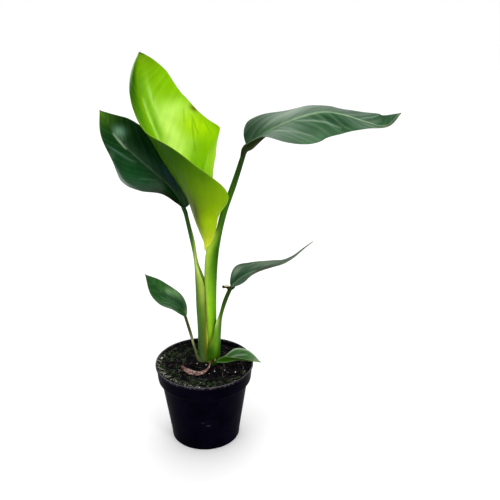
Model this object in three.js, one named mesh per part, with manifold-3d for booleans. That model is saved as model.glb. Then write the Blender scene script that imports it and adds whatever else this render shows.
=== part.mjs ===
// A young bird of paradise (Strelitzia) in a round nursery pot, in millimetres, +Z up.
// The origin is the middle of the pot's underside. The plant's fan of leaves spreads along X.
//
// Every leaf has a blade and a stalk. A blade grows from its midrib: each station along the midrib has a
// facing direction, and each half of the blade leaves the midrib at a fold angle and then curls. A stalk is
// a gutter of leaf tissue round a path: nearly solid at its top, and a thin sheath lower down, where it
// wraps the younger stalks. Values in a row are taken at even steps from a blade's or a stalk's lower end.
import * as THREE from "three";
import { mergeVertices } from "three/addons/utils/BufferGeometryUtils.js";
import Module from "manifold-3d";

const { PI, sin, cos, abs, exp, hypot, min, max, floor } = Math;
const DEGREE = PI / 180;
const GAP = 0.3; // between pieces that touch

const wasm = await Module();
wasm.setup();

// ---------- pot ----------
const POT = {
  height: 88,
  rimRadius: 52.5,
  bandHeight: 18, // the wider band below the rim
  bandFootRadius: 50,
  bodyTopRadius: 46.4,
  baseRadius: 36.5,
  baseCorner: 6,
  wall: 1.4,
  lip: 1.1, // how far the rim's bead stands out
  sides: 48,
};
const DRAIN = { count: 6, radius: 3.6, ring: 25, sides: 16 };

// ---------- soil ----------
const SOIL = { level: 84, floorGap: GAP, rings: 9, sides: 48, relief: 1.5, mound: 2.5 };
const CROWN = { x: 3.5, y: 10.5, halfX: 14.6, halfY: 13, top: 70, depth: 26, sides: 28 };
const STEM_HOLE = { halfX: 14.4, halfY: 10.6 }; // about the crown's middle

// ---------- leaves ----------
const BLADE_THICKNESS = 0.9;
const BLADES = {
  leaf_a_blade: {
    colour: 0x1f4a22,
    rows: 18,
    rounding: 0.1,
    midrib: [
      [-18.4, 28.4, 253], [-31.8, 33, 273], [-47.3, 37, 287.6], [-63.5, 40, 301.5],
      [-78.6, 40, 316.7], [-90.9, 38, 334.3], [-99.3, 34, 354.1],
    ],
    face: [
      [0.3, -0.85, 0.4], [0.25, -0.85, 0.4], [0.25, -0.85, 0.45], [0.25, -0.85, 0.4], [0.3, -0.85, 0.3],
    ],
    left: {
      width: [5, 20.5, 31, 31, 21.5, 13, 0],
      fold: [58, 50, 28, 10, 15, 10, 5],
      curl: [0, 0, 0, 5, 10, 5, 0],
    },
    right: {
      width: [13, 25, 31, 33, 27.5, 19.5, 0],
      fold: [30, 10, 0, 0, 0, 0, 0],
      curl: [10, 5, 0, 0, 0, 0, 0],
    },
    wave: { height: 0.8, count: 2, phase: 0.2 },
    rib: { depth: 1.6, width: 1.9 },
  },
  leaf_b_blade: {
    colour: 0x8fce14,
    rows: 26,
    rounding: 0.02,
    midrib: [
      [4.2, 12, 214.6], [-4.2, 15, 241.3], [-13, 19, 266.7], [-24.8, 24, 289.9], [-36.8, 29, 312.7],
      [-47.3, 34, 335.7], [-55.9, 38, 359.6], [-59.9, 41, 384.3], [-58.1, 41, 409.6],
    ],
    face: [
      [0.88, -0.17, 0.45], [0.88, -0.2, 0.45], [0.84, -0.33, 0.43], [0.8, -0.54, 0.3], [0.6, -0.77, 0.2],
    ],
    left: {
      width: [9, 24, 40, 67.5, 65, 63.5, 59, 53, 49, 44.5, 39, 33, 19, 0],
      fold: [0, 5, 10, 5, 2, 12, 18, 26, 25],
      curl: [165, 130, 100, 88, 80, 32, 18, 12, 10],
    },
    right: {
      width: [6, 22, 38, 52, 66, 78, 76, 61.5, 52.3, 45.5, 39, 33, 27.5, 21],
      fold: [0, 0, 0, 8, 16, 14, 16, 24, 22],
      curl: [150, 230, 190, 115, 55, 50, 45, 30, 20],
      lip: [0, 0, 110, 145, 50, 5, 0, 0, 0],
      tip: 0.1, // the share of the blade over which this half rounds off
    },
    wave: { height: 0, count: 2, phase: 0 },
    rib: { depth: 1.6, width: 2.2 },
  },
  leaf_c_blade: {
    colour: 0x4d7a50,
    rows: 22,
    rounding: 0.06,
    midrib: [
      [45.1, 10, 326.4], [64, 8, 338.2], [81.7, 5, 348.6], [100.1, 2, 356.5], [119.3, 0, 360.9],
      [138.8, -2, 358.3], [157.8, -3, 352.3], [177.1, -2, 347.8], [191.9, 0, 359.8],
    ],
    face: [[-0.3, -0.28, 0.95], [0, -0.25, 0.95], [0, -0.35, 0.94], [0, -0.2, 0.97], [0, -0.3, 0.95]],
    left: {
      width: [24, 32.5, 34, 36, 31.5, 29.5, 23, 16.5, 0],
      fold: [25, 16, 3, -3, -10, -8, 4, 16, 14],
      curl: [-10, -20, -24, -30, -24, -24, -16, 0, 0],
    },
    right: {
      width: [10, 22, 32, 34, 31, 24, 16, 9, 0],
      fold: [30, 24, 9, -5, -10, -4, 10, 20, 14],
      curl: [0, 0, -24, -30, -24, -24, -16, 0, 0],
    },
    wave: { height: 0.8, count: 2.5, phase: 0.1 },
    rib: { depth: 1.8, width: 2.1 },
  },
  leaf_d_blade: {
    colour: 0x3f7a3c,
    rows: 12,
    rounding: 0.14,
    midrib: [[-19.3, 8, 139], [-28.7, 6, 155.4], [-40.5, 4, 165.6], [-49.6, 1, 179.1], [-58.5, -2, 192.4]],
    face: [[0.4, -0.8, 0.4], [0.4, -0.8, 0.4], [0.4, -0.8, 0.4]],
    left: { width: [3, 9, 11.5, 9.5, 0], fold: [25, 18, 12, 10, 10], curl: [0, 0, 0, 0, 0] },
    right: { width: [4, 10, 11.5, 7.5, 0], fold: [35, 22, 14, 10, 10], curl: [0, 0, 0, 0, 0] },
    wave: { height: 0.3, count: 2, phase: 0 },
    rib: { depth: 1.2, width: 1.2 },
  },
  leaf_e_blade: {
    colour: 0x46724c,
    rows: 18,
    rounding: 0.1,
    midrib: [
      [29.2, 6, 174.6], [37.9, 3, 184.6], [47.9, 0, 192.8], [59.3, -3, 198.4], [71, -5, 202.4],
      [82.6, -7, 207], [93, -8, 214.2], [102.6, -9, 223.8], [111.6, -10, 232.2],
    ],
    face: [[-0.4, -0.3, 0.8], [-0.3, -0.2, 0.9], [-0.1, -0.1, 1], [-0.2, 0, 1], [-0.3, 0, 1]],
    left: {
      width: [9, 16.8, 16, 14.5, 12.8, 8.5, 4.5, 2, 0.6],
      fold: [20, 20, 5, 2, 2, 2, 5, 10, 10],
      curl: [0, 0, 0, 0, 0, 0, 0, 0, 0],
    },
    right: {
      width: [3, 10, 15, 16, 12.5, 7, 4, 2, 0.6],
      fold: [10, 4, 0, 5, 8, 10, 10, 10, 10],
      curl: [0, 0, 20, 50, 50, 30, 10, 0, 0],
    },
    wave: { height: 0.3, count: 2, phase: 0.3 },
    rib: { depth: 1.2, width: 1.3 },
  },
  leaf_f_blade: {
    colour: 0x3f8a34,
    rows: 10,
    rounding: 0.14,
    midrib: [[13.3, -2.8, 89.9], [22.9, -3.5, 89.6], [35.5, -5, 93.3], [48.2, -7, 93.2], [60.7, -9, 92.5]],
    face: [[-0.1, 0, 1], [0, 0, 1], [0.1, 0, 1]],
    left: { width: [2.5, 7.5, 12.5, 10, 0], fold: [40, 42, 45, 40, 30], curl: [0, 0, 0, 0, 0] },
    right: { width: [4, 10, 11, 8, 0], fold: [62, 66, 45, 34, 30], curl: [0, 0, 0, 0, 0] },
    wave: { height: 0.6, count: 1.5, phase: 0 },
    rib: { depth: 1.2, width: 1.1 },
  },
};

// Youngest first: each stalk wraps the ones before it in this list.
const STALKS = {
  leaf_b_stalk: {
    colour: 0xa8d32e,
    rows: 8,
    path: [[5.4, 11, 68], [6, 11, 104.4], [6.4, 11, 140.8], [6.7, 11, 177.2], [7.6, 11.3, 213.8]],
    keel: [[-1, 0.2, 0], [-1, 0.2, 0]],
    keelRadius: [3.2, 3.4, 3.4, 3.6, 3.5],
    sideRadius: [3.2, 3.4, 3.4, 3.6, 3.5],
    wrap: [150, 150],
    wall: [1.2, 1.2],
    edge: [0.8, 0.8],
    solid: [1, 1],
  },
  leaf_c_stalk: {
    colour: 0x7cb52a,
    rows: 20,
    path: [
      [5.4, 11, 68], [6.4, 11, 105], [7, 11, 142], [7.8, 11, 179], [10.9, 11.6, 215],
      [21.4, 14, 251], [33.6, 12.6, 287], [45.2, 10.4, 324.6],
    ],
    keel: [[1, -0.3, 0], [1, -0.3, -0.1], [1, 0, -0.4], [1, 0, -0.8]],
    keelRadius: [6.8, 6.6, 6.4, 6.6, 6.6, 3.6, 3.1, 2.4],
    sideRadius: [6.2, 6.0, 5.8, 5.8, 5.4, 3.5, 3.0, 2.4],
    wrap: [168, 168, 168, 168, 168, 168, 168, 166, 155, 108, 140, 150, 150, 150, 150],
    wall: [2.8, 2.6, 2.4, 2.4, 2.2, 1.6, 1.3, 1.1],
    edge: [0.8, 0.8],
    solid: [0, 0, 0, 0, 0, 0, 0, 0, 0, 0.6, 1, 1, 1, 1, 1],
  },
  leaf_a_stalk: {
    colour: 0x55892c,
    rows: 18,
    path: [
      [1.6, 11, 68], [1.2, 11, 95], [0.9, 11.5, 122.5], [0, 12.5, 149], [-0.8, 14.5, 175],
      [-5.8, 18.5, 201.5], [-12.6, 23.5, 228], [-18, 27.8, 251.4],
    ],
    keel: [[-1, -0.1, 0], [-1, 0, 0], [-1, 0.3, -0.2]],
    keelRadius: [8.6, 8.4, 8, 8, 7.6, 4, 2.4, 2.1],
    sideRadius: [7.8, 7.6, 7.4, 7.6, 7.4, 4.2, 2.3, 2],
    wrap: [120, 114, 108, 106, 106, 76, 140, 150],
    wall: [2.6, 2.6, 2.6, 2.6, 2.4, 1.8, 1.2, 1.2],
    edge: [0.8, 0.8],
    solid: [0, 0, 0, 0, 0, 0.4, 1, 1],
  },
  leaf_e_stalk: {
    colour: 0x4f8f2b,
    rows: 14,
    path: [
      [7, 10.5, 68], [7, 10.5, 87], [7.6, 10, 105], [11.5, 8.5, 122],
      [17.3, 6.5, 139.5], [22.4, 6, 157], [28.9, 6, 173.6],
    ],
    keel: [[1, -0.3, 0], [1, -0.2, -0.3], [1, 0, -0.6]],
    keelRadius: [9.4, 9.6, 9.8, 7, 2.6, 2.3, 2.2],
    sideRadius: [9, 9, 8.8, 6, 2.5, 2.3, 2.2],
    wrap: [110, 105, 98, 88, 130, 150, 150],
    wall: [2.2, 2.2, 2, 1.8, 1.2, 1.1, 1],
    edge: [0.8, 0.8],
    solid: [0, 0, 0, 0.2, 1, 1, 1],
  },
  leaf_d_stalk: {
    colour: 0x7a8a4a,
    rows: 14,
    path: [
      [1.2, 10.5, 68], [0.6, 10.3, 78], [-3, 9, 87], [-8.2, 7.5, 95.6], [-10.7, 7, 104],
      [-13, 7.5, 112.7], [-15.2, 8, 121], [-17.6, 8, 130.5], [-19.4, 8, 137.9],
    ],
    keel: [[-1, 0, 0], [-1, 0, -0.3]],
    keelRadius: [10.6, 9.8, 6.4, 2.6, 1.9, 1.8, 1.7, 1.6, 1.6],
    sideRadius: [9.2, 8.8, 6, 2.6, 1.9, 1.8, 1.7, 1.6, 1.6],
    wrap: [95, 92, 88, 100, 130, 150, 150],
    wall: [2, 2, 1.8, 1.4, 1.1, 1, 1],
    edge: [0.8, 0.8],
    solid: [0, 0, 0, 0.6, 1, 1, 1],
  },
  leaf_f_stalk: {
    colour: 0x3d8a24,
    rows: 8,
    path: [[8.5, -0.9, 68], [8.7, -1, 76], [9.3, -1.5, 84], [11.8, -2.6, 89.2]],
    keel: [[1, -0.3, 0], [0.6, 0, -0.6]],
    keelRadius: [1.9, 1.9, 1.7, 1.4],
    sideRadius: [1.9, 1.9, 1.7, 1.4],
    wrap: [150, 150],
    wall: [1.1, 1],
    edge: [0.8, 0.8],
    solid: [1, 1],
  },
};

// The withered scrap beside the top of leaf E's stalk.
const SCRAP = { centre: [24.6, 5.6, 174.4], half: [4.2, 1.4, 1.5] };

const DRY_SHEATH = {
  colour: 0x8a6a50,
  path: [[-23, -6.6, 85.5], [-14.5, -15.6, 85.4], [-5, -20, 85.4], [3.2, -13.8, 86.4], [6.6, -4.6, 88.2]],
  height: [2.2, 4.4, 5.4, 4.4, 5],
  lean: [55, 62, 64, 50, 20], // away from upright, in degrees
  thickness: 0.8,
  steps: 16,
};

// ---------- curves and sheets ----------
const vector = (x, y, z) => new THREE.Vector3(x, y, z);

// A smooth value along evenly spaced keys (a Catmull-Rom spline), t from 0 to 1.
function along(keys, t) {
  const last = keys.length - 1;
  const x = min(max(t, 0), 1) * last;
  const i = min(floor(x), last - 1);
  const u = x - i;
  const at = (k) => {
    if (k < 0) return 2 * keys[0] - keys[1];
    return k > last ? 2 * keys[last] - keys[last - 1] : keys[k];
  };
  const [a, b, c, d] = [at(i - 1), at(i), at(i + 1), at(i + 2)];
  return b + 0.5 * u * (c - a + u * (2 * a - 5 * b + 4 * c - d + u * (3 * (b - c) + d - a)));
}

function alongPoints(points, t) {
  return vector(...[0, 1, 2].map((axis) => along(points.map((p) => p[axis]), t)));
}

// Position, heading, upright direction and sideways direction of a path at t.
function frameAt(points, uprights, t) {
  const step = 0.004;
  const origin = alongPoints(points, t);
  const ahead = alongPoints(points, min(t + step, 1)).sub(alongPoints(points, max(t - step, 0))).normalize();
  const up = alongPoints(uprights, t);
  up.addScaledVector(ahead, -up.dot(ahead)).normalize();
  return { origin, ahead, up, side: ahead.clone().cross(up) };
}

// A closed solid between two sheets of points that share one grid of rows and columns.
function solidBetween(rows, columns, upper, lower) {
  const position = [];
  const index = [];
  for (const sheet of [upper, lower]) {
    for (let i = 0; i <= rows; i++) {
      for (let j = 0; j <= columns; j++) position.push(...sheet(i / rows, j).toArray());
    }
  }
  const at = (face, i, j) => (face * (rows + 1) + i) * (columns + 1) + j;
  const quad = (a, b, c, d) => index.push(a, b, c, a, c, d);
  for (let i = 0; i < rows; i++) {
    for (let j = 0; j < columns; j++) {
      quad(at(0, i, j), at(0, i, j + 1), at(0, i + 1, j + 1), at(0, i + 1, j));
      index.push(at(1, i, j), at(1, i + 1, j + 1), at(1, i, j + 1));
      index.push(at(1, i, j), at(1, i + 1, j), at(1, i + 1, j + 1));
    }
    quad(at(0, i + 1, 0), at(1, i + 1, 0), at(1, i, 0), at(0, i, 0));
    quad(at(0, i, columns), at(1, i, columns), at(1, i + 1, columns), at(0, i + 1, columns));
  }
  for (let j = 0; j < columns; j++) {
    quad(at(0, 0, j), at(1, 0, j), at(1, 0, j + 1), at(0, 0, j + 1));
    quad(at(0, rows, j + 1), at(1, rows, j + 1), at(1, rows, j), at(0, rows, j));
  }
  const geometry = new THREE.BufferGeometry();
  geometry.setAttribute("position", new THREE.Float32BufferAttribute(position, 3));
  geometry.setIndex(index);
  return geometry;
}

// ---------- solids and meshes ----------
function toManifold(geometry) {
  const bare = new THREE.BufferGeometry();
  bare.setAttribute("position", geometry.getAttribute("position"));
  bare.setIndex(geometry.index);
  const merged = mergeVertices(bare, 1e-4);
  const vertProperties = new Float32Array(merged.attributes.position.array);
  const triVerts = new Uint32Array(merged.index.array);
  const made = new wasm.Manifold(new wasm.Mesh({ numProp: 3, vertProperties, triVerts }));
  if (made.volume() > 0) return made;
  for (let i = 0; i < triVerts.length; i += 3) {
    [triVerts[i + 1], triVerts[i + 2]] = [triVerts[i + 2], triVerts[i + 1]];
  }
  return new wasm.Manifold(new wasm.Mesh({ numProp: 3, vertProperties, triVerts }));
}

// The largest body of a solid, without the loose scraps that a cut can leave.
function mainBody(solid) {
  return solid.decompose().reduce((a, b) => (b.volume() > a.volume() ? b : a));
}

function toMesh(name, solid, colour, roughness = 0.5) {
  const mesh = solid.getMesh();
  const geometry = new THREE.BufferGeometry();
  geometry.setAttribute("position", new THREE.BufferAttribute(new Float32Array(mesh.vertProperties), 3));
  geometry.setIndex(new THREE.BufferAttribute(new Uint32Array(mesh.triVerts), 1));
  geometry.computeVertexNormals();
  const material = new THREE.MeshStandardMaterial({ color: colour, roughness, metalness: 0 });
  const made = new THREE.Mesh(geometry, material);
  made.name = name;
  return made;
}

// ---------- leaf blades ----------
// Where a blade's columns lie on each half, from its midrib, 0, to its edge, 1.
const FEW_COLUMNS = [0.07, 0.27, 0.51, 0.76, 1];
const MANY_COLUMNS = [0.05, 0.16, 0.28, 0.4, 0.52, 0.64, 0.76, 0.88, 1];

// The width of a half blade at t: its row of widths, rounded off at the base, and grown on request.
function halfWidth(blade, half, t, grow) {
  const near = min(t / blade.rounding, 1);
  const base = 0.25;
  const round = base + (1 - base) * (1 - (1 - near) ** 2) ** 0.5;
  const far = half.tip ? max(0, 1 - (1 - t) / half.tip) : 0;
  return max(along(half.width, t) * round * (1 - far ** 2) ** 0.75, 0.5) + grow;
}

// The middle surface of a blade at t along it and v across it, with its normal on the upper side.
function bladePoint(blade, t, v, grow = 0) {
  const { origin, up, side } = frameAt(blade.midrib, blade.face, t);
  const half = v < 0 ? blade.left : blade.right;
  const across = v < 0 ? -1 : 1;
  const width = halfWidth(blade, half, t, grow);
  const fold = along(half.fold, t) * DEGREE;
  const curl = along(half.curl, t) * DEGREE;
  const lip = half.lip ? along(half.lip, t) * DEGREE : 0;
  const steps = 12;
  const u = abs(v);
  let out = 0;
  let rise = 0;
  for (let k = 0; k < steps; k++) {
    const part = u * ((k + 0.5) / steps);
    const angle = fold + curl * part + lip * part ** 3;
    out += (cos(angle) * u) / steps;
    rise += (sin(angle) * u) / steps;
  }
  const angle = fold + curl * u + lip * u ** 3;
  const normal = up.clone().multiplyScalar(cos(angle)).addScaledVector(side, -across * sin(angle));
  const { height, count, phase } = blade.wave;
  const wave = height * u * u * sin(PI * t) * sin(2 * PI * (count * t + phase + (v < 0 ? 0.37 : 0)));
  const point = origin
    .addScaledVector(side, across * width * out)
    .addScaledVector(up, width * rise)
    .addScaledVector(normal, wave);
  return { point, normal, width: u * width };
}

function bladeSolid(blade, grow = 0) {
  const half = max(...blade.left.curl, ...blade.right.curl) > 90 ? MANY_COLUMNS : FEW_COLUMNS;
  const columns = [...half.map((u) => -u).reverse(), 0, ...half];
  const at = (row) => row ** 1.25; // closer rows at the rounded base
  const upper = (row, j) => {
    const { point, normal } = bladePoint(blade, at(row), columns[j], grow);
    return point.addScaledVector(normal, BLADE_THICKNESS / 2 + grow);
  };
  const lower = (row, j) => {
    const { point, normal, width } = bladePoint(blade, at(row), columns[j], grow);
    const rib = blade.rib.depth * (1 - 0.9 * at(row)) * exp(-((width / blade.rib.width) ** 2));
    return point.addScaledVector(normal, -BLADE_THICKNESS / 2 - rib - grow);
  };
  return toManifold(solidBetween(blade.rows, columns.length - 1, upper, lower));
}

// ---------- leaf stalks ----------
const STALK_COLUMNS = 10;

// The section of a stalk at t, at column j: a point of its outside or of its inside.
function stalkPoint(stalk, t, j, inside) {
  const { origin, up: keel, side } = frameAt(stalk.path, stalk.keel, t);
  const [a, b] = [along(stalk.keelRadius, t), along(stalk.sideRadius, t)];
  const wrap = along(stalk.wrap, t) * DEGREE;
  const turn = (2 * j) / STALK_COLUMNS - 1;
  const angle = turn * wrap;
  if (!inside) return origin.addScaledVector(keel, a * cos(angle)).addScaledVector(side, b * sin(angle));
  const edge = along(stalk.edge, t);
  const wall = edge + (along(stalk.wall, t) - edge) * (0.5 + 0.5 * cos(PI * turn));
  const shell = [(a - wall) * cos(angle), (b - wall) * sin(angle)];
  const quarter = (turn * PI) / 2;
  const groove = [(a - edge) * cos(wrap) + 0.3 * a * cos(quarter), (b - edge) * sin(wrap) * sin(quarter)];
  const solid = min(max(along(stalk.solid, t), 0), 1);
  const [k, s] = [0, 1].map((axis) => shell[axis] + (groove[axis] - shell[axis]) * solid);
  return origin.addScaledVector(keel, k).addScaledVector(side, s);
}

function stalkSolid(stalk) {
  return toManifold(
    solidBetween(
      stalk.rows,
      STALK_COLUMNS,
      (t, j) => stalkPoint(stalk, t, j, false),
      (t, j) => stalkPoint(stalk, t, j, true),
    ),
  );
}

// Everything inside a stalk's outer surface, and a little more: what an older stalk leaves free.
function stalkEnvelope(stalk) {
  const sides = 16;
  const position = [];
  const index = [];
  for (let i = 0; i <= stalk.rows; i++) {
    const t = i / stalk.rows;
    const { origin, up: keel, side, ahead } = frameAt(stalk.path, stalk.keel, t);
    const [a, b] = [along(stalk.keelRadius, t) + GAP, along(stalk.sideRadius, t) + GAP];
    const past = i === stalk.rows ? 4 * GAP : 0; // room for the blade's lower end
    for (let j = 0; j < sides; j++) {
      const angle = (2 * PI * j) / sides;
      const p = origin.clone().addScaledVector(ahead, past);
      p.addScaledVector(keel, a * 1.02 * cos(angle)).addScaledVector(side, b * 1.02 * sin(angle));
      position.push(...p.toArray());
    }
  }
  for (let i = 0; i < stalk.rows; i++) {
    for (let j = 0; j < sides; j++) {
      const [a, b] = [i * sides + j, i * sides + ((j + 1) % sides)];
      index.push(a, b, b + sides, a, b + sides, a + sides);
    }
  }
  for (let j = 1; j < sides - 1; j++) {
    index.push(0, j + 1, j);
    const top = stalk.rows * sides;
    index.push(top, top + j, top + j + 1);
  }
  const geometry = new THREE.BufferGeometry();
  geometry.setAttribute("position", new THREE.Float32BufferAttribute(position, 3));
  geometry.setIndex(index);
  return toManifold(geometry);
}

// ---------- pot and soil ----------
function lathe(profile, sides) {
  const geometry = new THREE.LatheGeometry(profile.map(([r, z]) => new THREE.Vector2(r, z)), sides);
  geometry.rotateX(PI / 2);
  geometry.deleteAttribute("normal");
  geometry.deleteAttribute("uv");
  return toManifold(geometry);
}

// The pot's inside radius at height z.
function potInside(z) {
  const { height, bandHeight, bodyTopRadius, baseRadius, rimRadius, bandFootRadius, wall } = POT;
  const shelf = height - bandHeight;
  if (z > shelf) return bandFootRadius + ((rimRadius - bandFootRadius) * (z - shelf)) / bandHeight - wall;
  return baseRadius + ((bodyTopRadius - baseRadius) * z) / shelf - wall;
}

function potSolid() {
  const { height, rimRadius, bandHeight, bandFootRadius } = POT;
  const { bodyTopRadius, baseRadius, baseCorner, wall, lip } = POT;
  const shelf = height - bandHeight;
  const corner = [0, 30, 60, 90].map((d) => [
    baseRadius - baseCorner * (1 - sin(d * DEGREE)) + 0.6,
    baseCorner * (1 - cos(d * DEGREE)),
  ]);
  const profile = [
    [0, 0],
    ...corner,
    [bodyTopRadius, shelf - 1.5],
    [bandFootRadius, shelf],
    [rimRadius - lip, height - 3],
    [rimRadius, height - 2],
    [rimRadius, height - 0.5],
    [rimRadius - 0.6, height],
    [rimRadius - wall, height],
    [bandFootRadius - wall, shelf + 1.5],
    [bodyTopRadius - wall, shelf],
    [potInside(baseCorner), baseCorner],
    [baseRadius - baseCorner, wall],
    [0, wall],
  ];
  let pot = lathe(profile, POT.sides);
  for (let i = 0; i < DRAIN.count; i++) {
    const drill = new THREE.CylinderGeometry(DRAIN.radius, DRAIN.radius, 12, DRAIN.sides);
    drill.rotateX(PI / 2);
    const turn = (2 * PI * (i + 0.5)) / DRAIN.count;
    drill.translate(DRAIN.ring * cos(turn), DRAIN.ring * sin(turn), 0);
    pot = pot.subtract(toManifold(drill));
  }
  return pot;
}

// Height of the soil's surface: a low mound at the crown, and lumps.
function soilHeight(x, y) {
  const far = hypot(x - CROWN.x, y - CROWN.y);
  const broad = sin(0.31 * x + 0.8) * cos(0.27 * y - 0.4);
  const lumps = broad + 0.6 * sin(0.62 * x - 0.45 * y + 2) + 0.5 * cos(0.9 * y + 0.55 * x);
  return SOIL.level + SOIL.mound * exp(-((far / 20) ** 2)) + SOIL.relief * 0.5 * lumps;
}

function soilSolid() {
  const { rings, sides } = SOIL;
  const floor = POT.wall + SOIL.floorGap;
  const bodyTop = POT.height - POT.bandHeight;
  const position = [0, 0, soilHeight(0, 0)];
  const index = [];
  const ringsOf = [];
  const addRing = (radius, height) => {
    ringsOf.push(position.length / 3);
    for (let j = 0; j < sides; j++) {
      const turn = (2 * PI * j) / sides;
      const [x, y] = [radius * cos(turn), radius * sin(turn)];
      position.push(x, y, height === null ? soilHeight(x, y) : height);
    }
  };
  const clearance = GAP + 0.25;
  const topRadius = potInside(SOIL.level - 2.5) - clearance;
  for (let i = 1; i <= rings; i++) addRing((topRadius * i) / rings, null);
  addRing(POT.bandFootRadius - POT.wall - clearance, bodyTop + 2.4);
  addRing(POT.bodyTopRadius - POT.wall - clearance, bodyTop + 0.3);
  addRing(potInside(POT.baseCorner) - clearance, POT.baseCorner);
  addRing(POT.baseRadius - POT.baseCorner - clearance, floor);
  for (let j = 0; j < sides; j++) index.push(0, ringsOf[0] + j, ringsOf[0] + ((j + 1) % sides));
  for (let i = 0; i + 1 < ringsOf.length; i++) {
    for (let j = 0; j < sides; j++) {
      const [a, b] = [ringsOf[i] + j, ringsOf[i] + ((j + 1) % sides)];
      const [c, d] = [ringsOf[i + 1] + j, ringsOf[i + 1] + ((j + 1) % sides)];
      index.push(a, c, d, a, d, b);
    }
  }
  const bottom = position.length / 3;
  position.push(0, 0, floor);
  const lastRing = ringsOf.at(-1);
  for (let j = 0; j < sides; j++) index.push(bottom, lastRing + ((j + 1) % sides), lastRing + j);
  const geometry = new THREE.BufferGeometry();
  geometry.setAttribute("position", new THREE.Float32BufferAttribute(position, 3));
  geometry.setIndex(index);
  const hole = new THREE.CylinderGeometry(1, 1, 40, CROWN.sides);
  hole.rotateX(PI / 2);
  hole.scale(STEM_HOLE.halfX, STEM_HOLE.halfY, 1);
  hole.translate(CROWN.x, CROWN.y, CROWN.top + 20);
  return toManifold(geometry)
    .subtract(toManifold(hole))
    .subtract(crownSolid(GAP))
    .subtract(stalkEnvelope(STALKS.leaf_f_stalk));
}

// The rooted crown below the soil, or with grow the hole that it stands in.
function crownSolid(grow = 0) {
  const { x, y, halfX, halfY, top, depth, sides } = CROWN;
  const [more, rise] = [grow / halfY, grow ? 2 * GAP : 0];
  const profile = [
    [0, -depth - grow],
    [0.35 + more, -depth - grow],
    [0.8 + more, -depth * 0.55],
    [1 + more, -2],
    [1 + more, rise - GAP],
    [0, rise - GAP],
  ];
  const geometry = new THREE.LatheGeometry(profile.map(([r, z]) => new THREE.Vector2(r, z)), sides);
  geometry.rotateX(PI / 2);
  geometry.scale(halfX, halfY, 1);
  geometry.translate(x, y, top);
  geometry.deleteAttribute("normal");
  geometry.deleteAttribute("uv");
  return toManifold(geometry);
}

function scrapSolid() {
  const geometry = new THREE.SphereGeometry(1, 8, 6);
  geometry.scale(...SCRAP.half);
  geometry.translate(...SCRAP.centre);
  return toManifold(geometry);
}

function drySheathSolid() {
  const { path, height, lean, thickness, steps } = DRY_SHEATH;
  const point = (t, j, offset) => {
    const { origin, up, side } = frameAt(path, [[0, 0, 1], [0, 0, 1]], t);
    const angle = along(lean, t) * DEGREE;
    const rise = up.clone().multiplyScalar(cos(angle)).addScaledVector(side, sin(angle));
    const normal = side.clone().multiplyScalar(cos(angle)).addScaledVector(up, -sin(angle));
    return origin.addScaledVector(rise, (j / 2) * along(height, t)).addScaledVector(normal, offset);
  };
  return toManifold(
    solidBetween(steps, 2, (t, j) => point(t, j, thickness / 2), (t, j) => point(t, j, -thickness / 2)),
  );
}

// ---------- the whole plant ----------
const plant = new THREE.Group();
plant.name = "potted_bird_of_paradise";
plant.add(toMesh("pot", potSolid(), 0x0c0b10, 0.4));
plant.add(toMesh("soil", soilSolid(), 0x1d1a17, 0.95));
plant.add(toMesh("crown", crownSolid(), 0x6b5a3a, 0.8));
const belowCrownTop = toManifold(new THREE.BoxGeometry(80, 80, 20).translate(0, 0, CROWN.top - 10));
const younger = [];
for (const [name, stalk] of Object.entries(STALKS)) {
  let solid = stalkSolid(stalk).subtract(belowCrownTop);
  for (const envelope of younger) solid = solid.subtract(envelope);
  if (name === "leaf_e_stalk") solid = solid.add(scrapSolid());
  plant.add(toMesh(name, mainBody(solid), stalk.colour));
  younger.push(stalkEnvelope(stalk), bladeSolid(BLADES[name.replace("stalk", "blade")], 2 * GAP));
}
for (const [name, blade] of Object.entries(BLADES)) {
  plant.add(toMesh(name, bladeSolid(blade), blade.colour, 0.35));
}
plant.add(toMesh("dry_sheath", drySheathSolid(), DRY_SHEATH.colour, 0.9));

export default plant;
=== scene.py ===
import math
import random

import bmesh
import bpy
import numpy as np
from mathutils import Euler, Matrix, Quaternion, Vector, noise
from mathutils.geometry import tessellate_polygon


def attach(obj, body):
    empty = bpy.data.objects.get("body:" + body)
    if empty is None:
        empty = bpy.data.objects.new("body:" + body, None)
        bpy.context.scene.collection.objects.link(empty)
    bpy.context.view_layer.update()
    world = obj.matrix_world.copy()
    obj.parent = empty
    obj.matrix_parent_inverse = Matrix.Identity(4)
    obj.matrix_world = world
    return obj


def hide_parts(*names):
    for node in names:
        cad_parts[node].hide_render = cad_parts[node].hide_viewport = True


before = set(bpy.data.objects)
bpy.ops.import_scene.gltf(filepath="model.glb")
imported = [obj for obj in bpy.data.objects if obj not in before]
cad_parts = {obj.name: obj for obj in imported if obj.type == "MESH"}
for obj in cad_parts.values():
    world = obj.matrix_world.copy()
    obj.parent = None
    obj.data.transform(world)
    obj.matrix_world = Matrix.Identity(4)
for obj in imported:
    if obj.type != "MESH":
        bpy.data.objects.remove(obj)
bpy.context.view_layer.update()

MM = 0.001
TURN = 2 * math.pi

# ---------- sizes that the solids share ----------
POT = {
    "height": 88, "rim": 52.5, "band": 18, "band_foot": 50, "body_top": 46.4,
    "base": 36.5, "corner": 6, "wall": 1.4, "lip": 1.1,
}
DRAIN = {"count": 6, "radius": 3.6, "ring": 25, "sides": 24}
SOIL_LEVEL = 84
SOIL_REACH = 49.5  # inside this radius, loose things rest on the soil
STEM = (3.5, 10.5)  # where the stalks leave the soil
STALK_EDGE = 0.8  # thickness of a sheath's margins

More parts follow.
